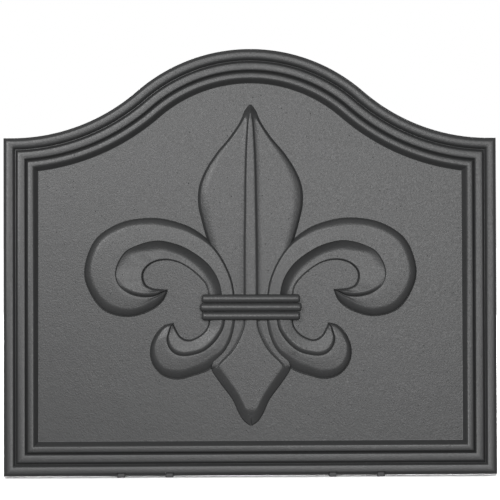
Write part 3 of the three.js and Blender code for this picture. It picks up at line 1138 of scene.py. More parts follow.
UPPER_LEAF = Leaf(
    "upper_leaf",
    outer=Rail((
        (15.0, 4.0), (20.0, 31.0), (34.5, 58.5), (57.0, 79.0), (82.4, 89.0), (104.5, 91.6),
        (134.0, 86.6), (159.5, 69.5), (170.7, 38.0), (166.2, 18.0), (151.0, -2.5), (126.0, -9.2),
        (102.0, -2.3), (90.3, 7.3), (85.5, 18.0),
    )),
    crease=Rail((
        (28.5, 4.0), (33.0, 27.0), (44.0, 44.5), (66.0, 60.6), (82.0, 66.6), (96.0, 68.7),
        (114.0, 65.0), (129.3, 56.8), (138.8, 38.0), (136.0, 24.0), (124.5, 14.9), (110.0, 11.3),
        (98.0, 12.4), (90.5, 15.9), (85.5, 18.0),
    )),
    eye=Rail((
        (42.0, 4.0), (45.0, 21.5), (51.0, 29.9), (64.5, 41.3), (76.0, 47.1), (87.5, 49.1),
        (98.3, 47.4), (105.5, 43.3), (110.8, 36.0), (110.6, 27.5), (107.0, 22.0), (100.5, 19.2),
        (93.5, 18.3), (88.5, 18.0), (85.5, 18.0),
    )),
    # knot, outer, outer_roll, outer_wall, crease, outer_dip,
    # step, inner_fall, inner, inner_roll, eye
    sections=(
        LeafSection(0.0, 6.6, 2.8, 0.3, 6.8, 0.3, 0.4, 10.0, 1.2, 1.2, 1.3),
        LeafSection(2.2, 7.0, 3.0, 0.3, 7.2, 0.3, 0.5, 11.5, 1.0, 1.3, 1.4),
        LeafSection(3.2, 7.0, 6.5, 0.3, 7.1, 0.3, 0.6, 12.0, 1.0, 1.4, 1.6),
        LeafSection(4.4, 6.8, 9.0, 0.28, 6.9, 0.3, 0.8, 11.8, 1.1, 1.5, 2.0),
        LeafSection(5.8, 6.6, 9.0, 0.28, 6.7, 0.3, 0.9, 11.2, 1.8, 1.5, 2.5),
        LeafSection(7.4, 6.8, 8.5, 0.28, 6.6, 0.5, 1.2, 9.0, 4.0, 1.6, 4.0),
        LeafSection(8.8, 6.9, 9.0, 0.25, 6.5, 0.8, 1.1, 4.4, 5.7, 1.6, 5.0),
        LeafSection(10.4, 7.0, 12.0, 0.16, 5.6, 1.4, 0.6, 5.6, 7.2, 2.0, 6.2),
        LeafSection(12.0, 7.0, 14.5, 0.12, 5.2, 1.2, 0.4, 6.4, 7.2, 2.2, 5.8),
        LeafSection(13.4, 5.4, 11.0, 0.12, 3.2, 1.0, 0.4, 4.6, 5.0, 2.0, 4.2),
        LeafSection(14.0, 2.6, 5.0, 0.2, 1.8, 0.8, 0.0, 2.0, 2.4, 1.0, 2.2),
    ),
)

LOWER_LEAF = Leaf(
    "lower_leaf",
    outer=Rail((
        (13.6, -4.0), (15.4, -22.0), (21.0, -39.0), (30.6, -52.5), (43.4, -64.0), (59.0, -69.8),
        (76.0, -73.6), (91.0, -69.3), (101.3, -57.0), (103.3, -43.0), (98.5, -29.0), (89.0, -18.8),
        (80.0, -16.0),
    )),
    crease=Rail((
        (26.5, -4.0), (28.3, -20.0), (33.0, -29.3), (40.0, -38.0), (49.5, -45.0), (59.5, -48.2),
        (69.5, -49.4), (77.5, -47.3), (83.5, -41.5), (86.0, -33.0), (84.8, -26.5), (82.5, -20.0),
        (80.0, -16.0),
    )),
    eye=Rail((
        (42.0, -4.0), (43.5, -18.5), (46.5, -24.0), (51.0, -28.5), (57.5, -32.3), (63.0, -33.9),
        (68.0, -33.3), (72.3, -30.7), (75.3, -27.2), (77.0, -24.0), (78.5, -21.0), (79.7, -18.3),
        (80.0, -16.0),
    )),
    # knot, outer, outer_roll, outer_wall, crease, outer_dip,
    # step, inner_fall, inner, inner_roll, eye
    sections=(
        LeafSection(0.0, 6.0, 6.0, 0.1, 5.3, 0.8, 0.2, 3.6, 6.7, 1.0, 5.2),
        LeafSection(2.5, 6.2, 6.4, 0.1, 5.3, 0.9, 0.3, 3.8, 7.0, 1.0, 5.1),
        LeafSection(3.8, 6.4, 12.0, 0.1, 5.4, 1.0, 0.3, 3.8, 7.0, 1.0, 5.3),
        LeafSection(6.0, 6.4, 11.5, 0.12, 5.4, 1.0, 0.3, 4.0, 7.0, 1.2, 5.8),
        LeafSection(7.8, 6.4, 7.8, 0.25, 5.3, 1.0, 0.3, 3.8, 6.8, 1.3, 5.6),
        LeafSection(9.4, 6.4, 6.6, 0.3, 4.9, 1.0, 0.2, 3.0, 6.1, 1.3, 5.0),
        LeafSection(11.0, 5.2, 4.4, 0.3, 3.6, 1.0, 0.2, 1.8, 4.2, 1.2, 3.6),
        LeafSection(12.0, 2.6, 2.4, 0.3, 1.9, 0.8, 0.0, 1.0, 2.2, 0.8, 2.0),
    ),
)


@dataclass
class FleurDeLis:
    """The ornament: two upper and two lower leaves, a spear with its vein, a tail and a collar.

    Attributes:
        centre_height: Middle of the collar above the plate's lower edge.
        root: How deep each form is rooted in the plate.
        fillet: Rounding at the foot of each form.
        foot_angles: Places on that rounding, in radians.
        per_span: Sections of a form between two knots.
        last_share: Where the last section lies, as a share of the rails.
        spear_edge: Half outline of the spear.
        spear_vein: Foot of the vein's steep side.
        blade: Height of the spear's blade.
        vein: Height of the vein.
        vein_top: Half width of the vein's level top, as a share of its foot.
        vein_crown: Points of that top: shares of its half width, depths below the vein's height,
            and crest values.
        vein_side: Points of the vein's side: shares of its width and height, and crest values.
        vein_fillet: Width and rise of the hollow beside the vein.
        hood: The knots between which the vein and the blade become one hood.
        hood_fall: The knots between which the hood falls, and the share of its height that it
            loses.
        blade_roll: Width of the blade's rounding at its edge.
        tail_edge: Half outline of the tail.
        tail_panel: Edge of its level panel.
        tail_corner: The knots between which the strip runs out into a bevel.
        tail_fall: The knots between which the tail falls, and the share of its height that it
            loses.
        tail_height: Height of the panel.
        tail_strip: Height of the strip beside the panel, above the corners.
        tail_lip: The panel's edge and the groove beside it: distances outside the panel, and
            depths below it.
        collar_crest: Height of the collar's reeds.
        collar_half: Half length of the outer reeds.
        collar_step: How much longer the middle reed is at each end.
        collar_pitch: Middle to middle of the reeds.
        collar_radius: Radius of a reed.
        collar_end: Rounding of a reed's ends.
        collar_groove: Crest of a reed to the groove beside it.
        collar_band: How far the band reaches over the outer reeds, as a share of their radius,
            and how far its ends are set back.
        collar_wear_and_shade_depth: Depth below the crest over which the paint turns lighter
        upwards: painted shade lower down, a painted highlight and rubbed wear at the top.
    """

    centre_height: float = 173.0
    root: float = 3.0
    fillet: float = 0.8
    foot_angles: Place = (0.0, 0.6, 1.1)
    per_span: int = 8
    last_share: float = 0.994
    spear_edge: Rail = Rail((
        (24.0, 8.0), (36.0, 44.0), (45.0, 72.0), (49.5, 88.0), (53.3, 106.0), (52.5, 124.0),
        (46.0, 141.0), (34.0, 159.5), (21.0, 175.0), (9.7, 192.0), (5.0, 203.0), (0.0, 209.2),
    ))
    spear_vein: Rail = Rail((
        (7.2, 8.0), (7.2, 44.0), (7.0, 72.0), (6.7, 88.0), (6.4, 106.0), (6.2, 124.0), (5.8, 141.0),
        (5.2, 159.5), (4.2, 175.0), (2.8, 192.0), (1.2, 203.0), (0.0, 208.0),
    ))
    blade: float = 3.2
    vein: float = 6.2
    vein_top: float = 0.74
    vein_crown: tuple[Place, ...] = (
        (0.0, -0.12, 1.0), (0.5, -0.1, 1.0), (0.86, 0.0, 1.0), (1.0, 0.25, 0.9),
    )
    vein_side: tuple[Place, ...] = ((0.3, 0.68, 0.6), (0.75, 0.18, 0.2))
    vein_fillet: Point = (6.0, 0.9)
    hood: Point = (9.0, 9.5)
    hood_fall: Place = (9.6, 11.0, 0.75)
    blade_roll: float = 2.3
    tail_edge: Rail = Rail((
        (21.0, -8.0), (23.0, -20.0), (27.5, -35.0), (34.0, -48.0), (39.9, -61.8), (39.9, -64.4),
        (31.6, -77.3), (18.6, -95.0), (12.1, -109.0), (7.2, -116.6), (0.0, -122.0),
    ))
    tail_panel: Rail = Rail((
        (4.2, -8.0), (4.7, -20.0), (10.2, -34.6), (17.4, -45.8), (30.6, -59.4), (31.0, -62.2),
        (23.0, -74.0), (12.0, -90.5), (5.4, -103.5), (2.2, -109.0), (0.0, -112.5),
    ))
    tail_corner: Point = (3.7, 4.9)
    tail_fall: Place = (8.0, 10.0, 0.35)
    tail_height: float = 5.2
    tail_strip: float = 3.4
    tail_lip: tuple[Point, ...] = (
        (0.0, 0.0), (0.5, 0.03), (1.0, 0.12), (1.6, 0.28), (2.2, 0.5), (2.5, 1.3), (2.8, 2.1),
        (3.1, 2.2), (3.5, 2.0), (3.9, 1.8),
    )
    collar_crest: float = 10.0
    collar_half: float = 50.5
    collar_step: float = 1.6
    collar_pitch: float = 8.8
    collar_radius: float = 4.5
    collar_end: float = 2.8
    collar_groove: float = 3.4
    collar_band: Point = (0.72, 1.6)
    collar_wear_and_shade_depth: float = 3.0

    def on_plate(self, point: Vector, height: float, side: float = 1.0) -> Vector:
        """The place of a point of the drawing at a height above the field."""
        return Vector((side * point.x, -height, point.y + self.centre_height))

    def foot_rounding(self) -> list[Point]:
        """The fillet at the foot of a form.

        Returns:
            Its points, as distances outside the form's edge and heights.
        """
        return [
            (self.fillet * (1.0 - math.sin(angle)), self.fillet * (1.0 - math.cos(angle)))
            for angle in self.foot_angles
        ]

    def leaf_ring(self, leaf: Leaf, knot: float) -> Ring:
        """A closed ring across a leaf.

        Args:
            leaf: The leaf.
            knot: The place along it.

        Returns:
            The ring, from the buried foot of its outer edge to that of its eye edge.
        """
        outer, crease, eye = leaf.outer.at(knot), leaf.crease.at(knot), leaf.eye.at(knot)
        section = leaf.section_at(knot)
        outer_width = max((crease - outer).length, 0.05)
        inner_width = max((eye - crease).length, 0.05)
        outwards = (outer - crease).normalized()
        inwards = (eye - crease).normalized()
        highest = max(section.outer, section.inner, 0.1)
        ring = [(outer + outwards * self.fillet, -self.root, 0.0)]
        for reach, height in self.foot_rounding():
            ring.append((outer + outwards * reach, height, 0.0))
        folds = (
            (outer, crease, section.across_outer(outer_width)),
            (crease, eye, section.across_inner(inner_width)),
        )
        for start, end, points in folds:
            for share, height in points:
                # Paint lightens with height as a painted highlight and rubbed wear, and darkens low
                # down and on the fillets at the foot as painted shade.
                worn = smoothstep(height, 0.3 * highest, highest)
                ring.append((start.lerp(end, share), max(height, self.fillet), worn))
        for reach, height in reversed(self.foot_rounding()):
            ring.append((eye + inwards * reach, height, 0.0))
        ring.append((eye + inwards * self.fillet, -self.root, 0.0))
        return ring

    def leaf_mesh(self, leaf: Leaf, side: Side) -> bmesh.types.BMesh:
        """Builds a leaf.

        Args:
            leaf: The leaf.
            side: The side that it is on.

        Returns:
            Its closed mesh.
        """
        bm = new_bmesh()
        stations = leaf.outer.stations(self.per_span, self.last_share)
        rings = [self.leaf_ring(leaf, knot) for knot in stations]
        count = len(rings[0])

        def place(column: int, row: int) -> tuple[Vector, float]:
            """Sets a point of a ring.

            Args:
                column: The point's number in the ring.
                row: The ring's number.

            Returns:
                The place and the crest value.
            """
            point, height, crest = rings[row][column % count]
            return self.on_plate(point, height, side.value), crest

        mapped_grid(bm, count, len(rings) - 1, place)
        close_openings(bm)
        return bm

    def vein_half(self, middle: Vector, foot: Vector) -> Ring:
        """The right half of a section across the vein alone.

        Args:
            middle: Its point on the centre line.
            foot: The foot of its steep side.

        Returns:
            Its points, from the centre line outwards.
        """
        top, low = self.vein_top, self.blade + self.vein_fillet[1]
        crown = [
            (middle.lerp(foot, share * top), self.vein - depth, crest)
            for share, depth, crest in self.vein_crown
        ]
        side = [
            (middle.lerp(foot, lerp(top, 1.0, share)), lerp(low, self.vein, rise), crest)
            for share, rise, crest in self.vein_side
        ]
        return crown + side

    def spear_half(self, knot: float) -> Ring:
        """The right half of a section across the spear.

        Args:
            knot: The place along it.

        Returns:
            Its points, from the centre line outwards.
        """
        foot, edge = self.spear_vein.at(knot), self.spear_edge.at(knot)
        half = self.vein_half(Vector((0.0, foot.y)), foot)
        width = max((edge - foot).length, 0.05)
        fillet = min(self.vein_fillet[0], 0.5 * width)
        roll = min(self.blade_roll, 0.35 * width)
        out = (edge - foot).normalized()
        # Crest values make the paint lighter on the vein's top and the blade, as a painted
        # highlight and wear, and darker in the hollow beside the vein and at the edge, as painted
        # shade.
        for share in shares(6, first=0):
            height = self.blade + self.vein_fillet[1] * (1.0 - share) ** 2
            half.append((foot + out * fillet * share, height, 0.2 + 0.25 * share))
        for share in shares(4):
            half.append((foot + out * lerp(fillet, width - roll, share), self.blade, 0.5))
        for share in shares(6):
            away = 1.0 - share
            height = lerp(self.fillet, self.blade, away**0.8)
            half.append((foot + out * (width - roll * away), height, 0.4 * away))
        hood = smoothstep(knot, *self.hood)
        peak = self.vein * (1.0 - self.hood_fall[2] * smoothstep(knot, *self.hood_fall[:2]))
        for i, (point, height, crest) in enumerate(half):
            roof = lerp(self.fillet, peak, max(1.0 - point.x / max(edge.x, 0.05), 0.0))
            half[i] = (point, lerp(height, roof, hood), crest)
        for reach, height in reversed(self.foot_rounding()):
            half.append((edge + out * reach, height, 0.0))
        half.append((edge + out * self.fillet, -self.root, 0.0))
        return half

    def tail_half(self, knot: float) -> Ring:
        """The right half of a section across the tail.

        Args:
            knot: The place along it.

        Returns:
            Its points, from the centre line outwards.
        """
        panel, edge = self.tail_panel.at(knot), self.tail_edge.at(knot)
        below = smoothstep(knot, *self.tail_corner)
        top = self.tail_height * (1.0 - self.tail_fall[2] * smoothstep(knot, *self.tail_fall[:2]))
        width = max((edge - panel).length, 0.05)
        out = (edge - panel).normalized()
        middle = Vector((0.0, panel.y))
        # Crest values make the paint lighter on the high panel, as a painted highlight and wear,
        # and darker on the low strip and bevel, as painted shade.
        half = [(middle.lerp(panel, share), top, 0.6) for share in (0.0, 0.3, 0.6, 0.9)]
        strip = [(reach, top - depth) for reach, depth in self.tail_lip]
        start = strip[-1][0]
        strip += [(lerp(start, width, share), self.tail_strip) for share in shares(5)]
        for step, (strip_at, strip_height) in enumerate(strip):
            share = step / (len(strip) - 1)
            bevel = top - (top - self.fillet) * share**1.35
            at = lerp(min(strip_at, width), width * share, below)
            height = lerp(strip_height, bevel, below)
            half.append((panel + out * at, height, 0.5 * smoothstep(height, 1.0, top)))
        for reach, height in reversed(self.foot_rounding()):
            half.append((edge + out * reach, lerp(self.tail_strip, height, below), 0.0))
        half.append((edge + out * self.fillet, -self.root, 0.0))
        return half

    def mirrored_mesh(self, rail: Rail, half_at: Callable[[float], Ring]) -> bmesh.types.BMesh:
        """Builds a form that is the same on both sides of the centre line.

        Args:
            rail: The form's half outline.
            half_at: Gives the right half of the section at a place along it.

        Returns:
            The closed mesh.
        """
        bm = new_bmesh()
        halves = [half_at(knot) for knot in rail.stations(self.per_span, self.last_share)]
        last = len(halves[0]) - 1

        def place(column: int, row: int) -> tuple[Vector, float]:
            """Sets a point of the left or right half of a section.

            Args:
                column: The point's number, from the left edge to the right one.
                row: The section's number.

            Returns:
                The place and the crest value.
            """
            around = column if column <= 2 * last else 0
            side = -1.0 if around < last else 1.0
            point, height, crest = halves[row][abs(around - last)]
            return self.on_plate(point, height, side), crest

        mapped_grid(bm, 2 * last + 1, len(halves) - 1, place)
        close_openings(bm)
        return bm

    def collar_mesh(self) -> bmesh.types.BMesh:
        """Builds the collar's three reeds over the band that holds them together.

        Returns:
            Its mesh.
        """
        bm = new_bmesh()
        along_x = Matrix.Rotation(math.pi / 2.0, 4, "Y")
        for row in (-1, 0, 1):
            half = self.collar_half + (self.collar_step if row == 0 else 0.0)
            radius, height = self.collar_radius, self.centre_height + row * self.collar_pitch
            rod = bmesh.ops.create_cone(
                bm, cap_ends=True, segments=48, radius1=radius, radius2=radius, depth=2.0 * half,
                matrix=along_x,
            )["verts"]
            rims = [e for e in edges_across(bm, 0) if e.verts[0] in rod and e.verts[1] in rod]
            bmesh.ops.translate(bm, verts=rod, vec=(0.0, radius - self.collar_crest, height))
            round_edges(bm, rims, self.collar_end, 6)
        cover, setback = self.collar_band
        depth = self.collar_crest - self.collar_groove + self.root
        band = bmesh.ops.create_cube(bm, size=1.0)["verts"]
        width = 2.0 * (self.collar_pitch + cover * self.collar_radius)
        bmesh.ops.scale(bm, verts=band, vec=(2.0 * (self.collar_half - setback), depth, width))
        bmesh.ops.translate(bm, verts=band, vec=(0.0, self.root - depth / 2.0, self.centre_height))
        # The paint lightens towards the reeds' crests: painted shade lower down, a painted
        # highlight and rubbed wear at the top.
        crest, wear_and_shade_from = bm.verts.layers.float["crest"], self.collar_crest - self.collar_wear_and_shade_depth
        for vert in bm.verts:
            vert[crest] = smoothstep(-vert.co.y, wear_and_shade_from, self.collar_crest)
        bmesh.ops.recalc_face_normals(bm, faces=bm.faces)
        return bm

    def build(self, shop: Workshop, finish: bpy.types.Material) -> None:
        """Builds every form of the ornament and hands it over.

        Args:
            shop: The workshop.
            finish: The casting's material.
        """
        forms = {
            "spear_with_vein": self.mirrored_mesh(self.spear_edge, self.spear_half),
            "tail": self.mirrored_mesh(self.tail_edge, self.tail_half),
            "collar": self.collar_mesh(),
        }
        for leaf in (UPPER_LEAF, LOWER_LEAF):
            for side in Side:
                forms[f"{leaf.name}_{side.word}"] = self.leaf_mesh(leaf, side)
        slot, node = "casting", "fireback_plate"
        for name, bm in forms.items():
            shop.deliver(bm, f"fleur_de_lis_{name}", finish, node, sharp_degrees=75.0)


# ---------------------------------------------------------------- feet


@dataclass
class SupportFoot:
    """A rear foot: two cheeks whose toes reach under the plate, a flange and a heel bar.

    Attributes:
        side: The side that it is on.
        offset: Centre line to its middle.
        cheek_spacing: Middle to middle of the cheeks.
        cheek_thickness: Thickness of a cheek.
        reach: Back of the plate to its rear end.
        height: Top of the flange.
        sweep: Where the cheek's hollow rear edge is drawn in to: behind the flange, and height.
        toe_height: Height of the toes.
        toe_reach: Toe's end in front of the field.
        toe_nose: Slope at the toe's upper front.
        toe_throat: Slope where the toe leaves the cheek: depth and height.
        heel_height: Height of the cheek's rear end.
        heel_corner: Rounding of its lower corner: reach, and distance from the corner's sides.
        heel_bar: Length, height and setback of the bar between the heels.
        edge: Rounding of the cast edges.
        flange_thickness: Thickness of the flange.
        flange_foot: Lower edge of the flange.
        flange_corner: Rounding of the flange's corners.
        boss_face: Depth of the bosses' faces behind the field.
        fit_gap: Gap between clamped faces.
    """

    side: Side
    offset: float = FOOT_OFFSET
    cheek_spacing: float = CHEEK_SPACING
    cheek_thickness: float = 8.0
    reach: float = FOOT_REACH
    height: float = 126.0
    sweep: Point = (46.0, 31.0)
    toe_height: float = 5.2
    toe_reach: float = 3.0
    toe_nose: float = 1.0
    toe_throat: Point = (1.6, 3.0)
    heel_height: float = 14.0
    heel_corner: Point = (2.5, 0.7)
    heel_bar: Place = (16.0, 10.5, 1.0)
    edge: float = 1.1
    flange_thickness: float = 7.0
    flange_foot: float = 14.0
    flange_corner: float = 7.0
    boss_face: float = FIELD_THICKNESS + BOSS_HEIGHT
    fit_gap: float = FIT_GAP

    def spine(self, height: float, stance: Stance) -> float:
        """The depth of the flange's middle behind the field.

        Args:
            height: Height above the hearth.
            stance: How the foot stands, because the flange leans with the plate.

        Returns:
            The depth.
        """
        middle = self.boss_face + self.fit_gap + self.flange_thickness / 2.0
        return middle + height * math.tan(stance.lean)

    def cheek_outline(self, stance: Stance) -> list[Point]:
        """The outline of a cheek.

        Args:
            stance: How the foot stands.

        Returns:
            Depths behind the field and heights above the hearth.
        """
        rear, toe = stance.thickness + self.reach, self.toe_height
        far, near = self.heel_corner
        outline = [(-self.toe_reach, 0.0), (rear - far, 0.0), (rear - near, near), (rear, far)]
        top, crown = self.height - self.flange_corner, self.spine(self.height, stance)
        start = Vector((rear, self.heel_height))
        end = Vector((crown + self.flange_thickness / 2.0, top))
        pull = Vector((self.spine(0.0, stance) + self.sweep[0], self.sweep[1]))
        for share in shares(24, first=0):
            rest = 1.0 - share
            point = start * rest**2 + pull * 2.0 * share * rest + end * share * share
            outline.append((point.x, point.y))
        back, rise = self.toe_throat
        throat = self.spine(toe + rise, stance)
        outline += [(crown, top), (throat, toe + rise), (self.spine(toe, stance) - back, toe)]
        outline += [(self.toe_nose - self.toe_reach, toe), (-self.toe_reach, toe - self.toe_nose)]
        return outline

    def cheek(self, x: float, stance: Stance) -> bmesh.types.BMesh:
        """Builds one cheek.

        Args:
            x: The cheek's middle.
            stance: How the foot stands.

        Returns:
            Its mesh, with rounded edges.
        """
        bm = new_bmesh()
        start = x - self.cheek_thickness / 2.0
        outline = [Vector((start, depth, height)) for depth, height in self.cheek_outline(stance)]
        extruded_profile(bm, outline, Vector((self.cheek_thickness, 0.0, 0.0)))
        bmesh.ops.recalc_face_normals(bm, faces=bm.faces)
        round_edges(bm, edges_across(bm, 0), self.edge, 3)
        return bm

    def flange(self, stance: Stance) -> bmesh.types.BMesh:
        """Builds the flange, in the leaning drawing turned to the standing one.

        Args:
            stance: How the foot stands.

        Returns:
            Its mesh, with rounded corners and edges.
        """
        bm = new_bmesh()
        half_width = (self.cheek_spacing + self.cheek_thickness) / 2.0
        corner, x = self.flange_corner, self.side.value * self.offset
        out, top, foot = half_width - corner, self.height - corner, self.flange_foot + corner
        outline = []
        middles = ((out, top), (-out, top), (-out, foot), (out, foot))
        for quarter, (across, up) in enumerate(middles):
            for share in shares(8, first=0):
                angle = math.pi / 2.0 * (quarter + share)
                spot = (x + across + corner * math.cos(angle), up + corner * math.sin(angle))
                outline.append(Vector((spot[0], self.boss_face + self.fit_gap, spot[1])))
        extruded_profile(bm, outline, Vector((0.0, self.flange_thickness, 0.0)))
        bmesh.ops.recalc_face_normals(bm, faces=bm.faces)
        round_edges(bm, edges_across(bm, 1), self.edge, 3)
        turn = stance.matrix(Fit.STANDING).inverted() @ stance.matrix(Fit.LEANING)
        bmesh.ops.transform(bm, matrix=turn, verts=bm.verts)
        return bm

    def heel(self, stance: Stance) -> bmesh.types.BMesh:
        """Builds the bar between the heels.

        Args:
            stance: How the foot stands.

        Returns:
            Its mesh, with rounded long edges.
        """
        bm = new_bmesh()
        length, height, setback = self.heel_bar
        rear = stance.thickness + self.reach - setback
        bar = bmesh.ops.create_cube(bm, size=1.0)["verts"]
        bmesh.ops.scale(bm, verts=bar, vec=(self.cheek_spacing, length, height))
        middle = Vector((self.side.value * self.offset, rear - length / 2.0, height / 2.0))
        bmesh.ops.translate(bm, verts=bar, vec=middle)
        long_edges = [e for e in bm.edges if abs(e.verts[0].co.x - e.verts[1].co.x) > 1.0]
        round_edges(bm, long_edges, self.edge, 3)
        return bm

    def build(self, shop: Workshop, finish: bpy.types.Material) -> None:
        """Builds the foot and hands it over.

        Args:
            shop: The workshop.
            finish: The foot's material.
        """
        x = self.side.value * self.offset
        bodies = {
            "cheek_outer": self.cheek(x + self.side.value * self.cheek_spacing / 2.0, shop.stance),
            "cheek_inner": self.cheek(x - self.side.value * self.cheek_spacing / 2.0, shop.stance),
            "flange": self.flange(shop.stance),
            "heel_bar": self.heel(shop.stance),
        }
        slot, node = "foot_casting", f"support_foot_{self.side.word}"
        for part, bm in bodies.items():
            crest = bm.verts.layers.float["crest"]
            for vert in bm.verts:
                vert[crest] = 0.5
            name = f"foot_{self.side.word}_{part}"
            shop.deliver(bm, name, finish, node, Fit.STANDING, sharp_degrees=40.0)


# ---------------------------------------------------------------- bolted joints


@dataclass
class BoltedJoint:
    """A hexagon bolt with its flat washer and its split spring washer.

    Attributes:
        side: The side of its foot.
        level: Its height.
        offset: Centre line to the bolt.
        flange_back: Depth of the flange's rear face behind the field.
        fit_gap: Gap between clamped faces.
        bolt_radius: Radius of the shank.
        bolt_tip: Depth of the shank's end behind the field.
        across_flats: Width of the head.
        head_height: Height of the head.
        crown_share: Round top of the head, as a share of half its width.
        chamfer_degrees: Slope of the head's corners.
        washer: Radius, thickness and broken edge of the flat washer.
        spring: Radius, thickness and broken edge of the spring washer.
        split_degrees: Width of its split.
    """

    side: Side
    level: Level
    offset: float = FOOT_OFFSET
    flange_back: float = 21.3
    fit_gap: float = FIT_GAP
    bolt_radius: float = 4.0
    bolt_tip: float = 5.0
    across_flats: float = 13.0
    head_height: float = 5.3
    crown_share: float = 0.94
    chamfer_degrees: float = 30.0
    washer: Place = (8.5, 1.6, 0.18)
    spring: Place = (7.0, 2.0, 0.12)
    split_degrees: float = 12.0

    @property
    def middle(self) -> Vector:
        """The point of the bolt's axis in the plane of the field."""
        return Vector((self.side.value * self.offset, 0.0, self.level.value))

    @property
    def label(self) -> str:
        """The joint's place in a piece's name."""
        return f"{self.side.word}_{self.level.word}"

    def flat_washer(self) -> bmesh.types.BMesh:
        """Builds the flat washer, with broken edges.

        Returns:
            Its closed mesh.
        """
        bm = new_bmesh()
        bore, (radius, thickness, cut) = self.bolt_radius + self.fit_gap, self.washer
        front = self.flange_back + self.fit_gap
        back = front + thickness
        profile = [
            (bore, front), (radius - cut, front), (radius, front + cut), (radius, back - cut),
            (radius - cut, back), (bore + cut, back), (bore, back - cut), (bore, front),
        ]
        lathe(bm, profile, self.middle, steps=64)
        close_openings(bm)
        return bm

    def spring_washer(self) -> bmesh.types.BMesh:
        """Builds the split spring washer.

        Returns:
            Its mesh, closed at both ends of its coil.
        """
        bm = new_bmesh()
        bore, (radius, thickness, cut) = self.bolt_radius + self.fit_gap, self.spring
        front = self.flange_back + 2.0 * self.fit_gap + self.washer[1]
        back = front + thickness
        profile = [
            (bore + cut, front), (radius - cut, front), (radius, front + cut), (radius, back - cut),
            (radius - cut, back), (bore + cut, back), (bore, back - cut), (bore, front + cut),
            (bore + cut, front),
        ]
        coil = math.radians(360.0 - self.split_degrees)
        lathe(bm, profile, self.middle, steps=58, turn=-coil)
        close_openings(bm)
        return bm

    def head_radius(self, angle: float) -> float:
        """Distance from the axis to the head's side in a direction."""
        sixth = math.pi / 3.0
        return self.across_flats / 2.0 / math.cos((angle + sixth / 2.0) % sixth - sixth / 2.0)

    @staticmethod
    def grow_rim(bm: bmesh.types.BMesh) -> list[bmesh.types.BMVert]:
        """Extrudes the open rim of a mesh.

        Args:
            bm: The mesh.

        Returns:
            The corners of its new rim, still in the place of the old ones.
        """
        rim = [edge for edge in bm.edges if edge.is_boundary]
        grown = bmesh.ops.extrude_edge_only(bm, edges=rim)["geom"]
        return [item for item in grown if isinstance(item, bmesh.types.BMVert)]

    def bolt(self) -> bmesh.types.BMesh:
        """Builds the bolt's head with its chamfered corners, and its shank.

        Returns:
            Their mesh.
        """
        bm = new_bmesh()
        front = self.flange_back + 3.0 * self.fit_gap + self.washer[1] + self.spring[1]
        back = front + self.head_height
        crown = self.across_flats / 2.0 * self.crown_share
        slope = math.tan(math.radians(self.chamfer_degrees))
        facing_rear = Matrix.Rotation(math.pi / 2.0, 3, "X")
        top = bmesh.ops.create_circle(bm, cap_ends=True, radius=crown, segments=96)["verts"]
        bmesh.ops.rotate(bm, verts=top, cent=(0.0, 0.0, 0.0), matrix=facing_rear)
        for vert in self.grow_rim(bm):
            angle = math.atan2(vert.co.z, vert.co.x)
            radius = self.head_radius(angle)
            drop = (radius - crown) * slope
            vert.co = Vector((radius * math.cos(angle), -drop, radius * math.sin(angle)))
        for vert in self.grow_rim(bm):
            vert.co.y = -self.head_height
        close_openings(bm)
        bmesh.ops.translate(bm, verts=bm.verts, vec=self.middle + Vector((0.0, back, 0.0)))
        tip, buried, radius = self.bolt_tip, front + 0.5, self.bolt_radius
        shank = [(0.0, tip), (radius, tip), (radius, buried), (0.0, buried)]
        lathe(bm, shank, self.middle, steps=40)
        bmesh.ops.remove_doubles(bm, verts=bm.verts, dist=MERGED)
        bmesh.ops.recalc_face_normals(bm, faces=bm.faces)
        return bm

    def build(self, shop: Workshop, finishes: dict[str, bpy.types.Material]) -> None:
        """Builds the joint's three pieces and hands them over.

        Args:
            shop: The workshop.
            finishes: Materials by material slot.
        """
        pieces = (
            ("hex_bolt", self.bolt(), "bolt_steel", 25.0),
            ("flat_washer", self.flat_washer(), "washer_steel", 30.0),
            ("spring_washer", self.spring_washer(), "spring_steel", 30.0),
        )
        for kind, bm, slot, sharp in pieces:
            name = f"{kind}_{self.label}"
            shop.deliver(bm, f"{name}_piece", finishes[slot], name, sharp_degrees=sharp)


# ---------------------------------------------------------------- studio


@dataclass(frozen=True)
class SoftBox:
    """A rectangular studio light.

    Attributes:
        name: Its name.
        place: Where it hangs, in metres.
        aim: The point that it faces.
        size: Width and height.
        power: Watts.
    """

    name: str
    place: Place
    aim: Place
    size: Point
    power: float

    def hang(self) -> None:
        """Adds the light to the scene."""
        light = bpy.data.lights.new(self.name, "AREA")
        light.shape, light.size, light.size_y = "RECTANGLE", *self.size
        light.energy = self.power
        lamp = bpy.data.objects.new(self.name, light)
        lamp.location = self.place
        beam = Vector(self.aim) - Vector(self.place)
        lamp.rotation_euler = beam.to_track_quat("-Z", "Y").to_euler()
        bpy.context.scene.collection.objects.link(lamp)


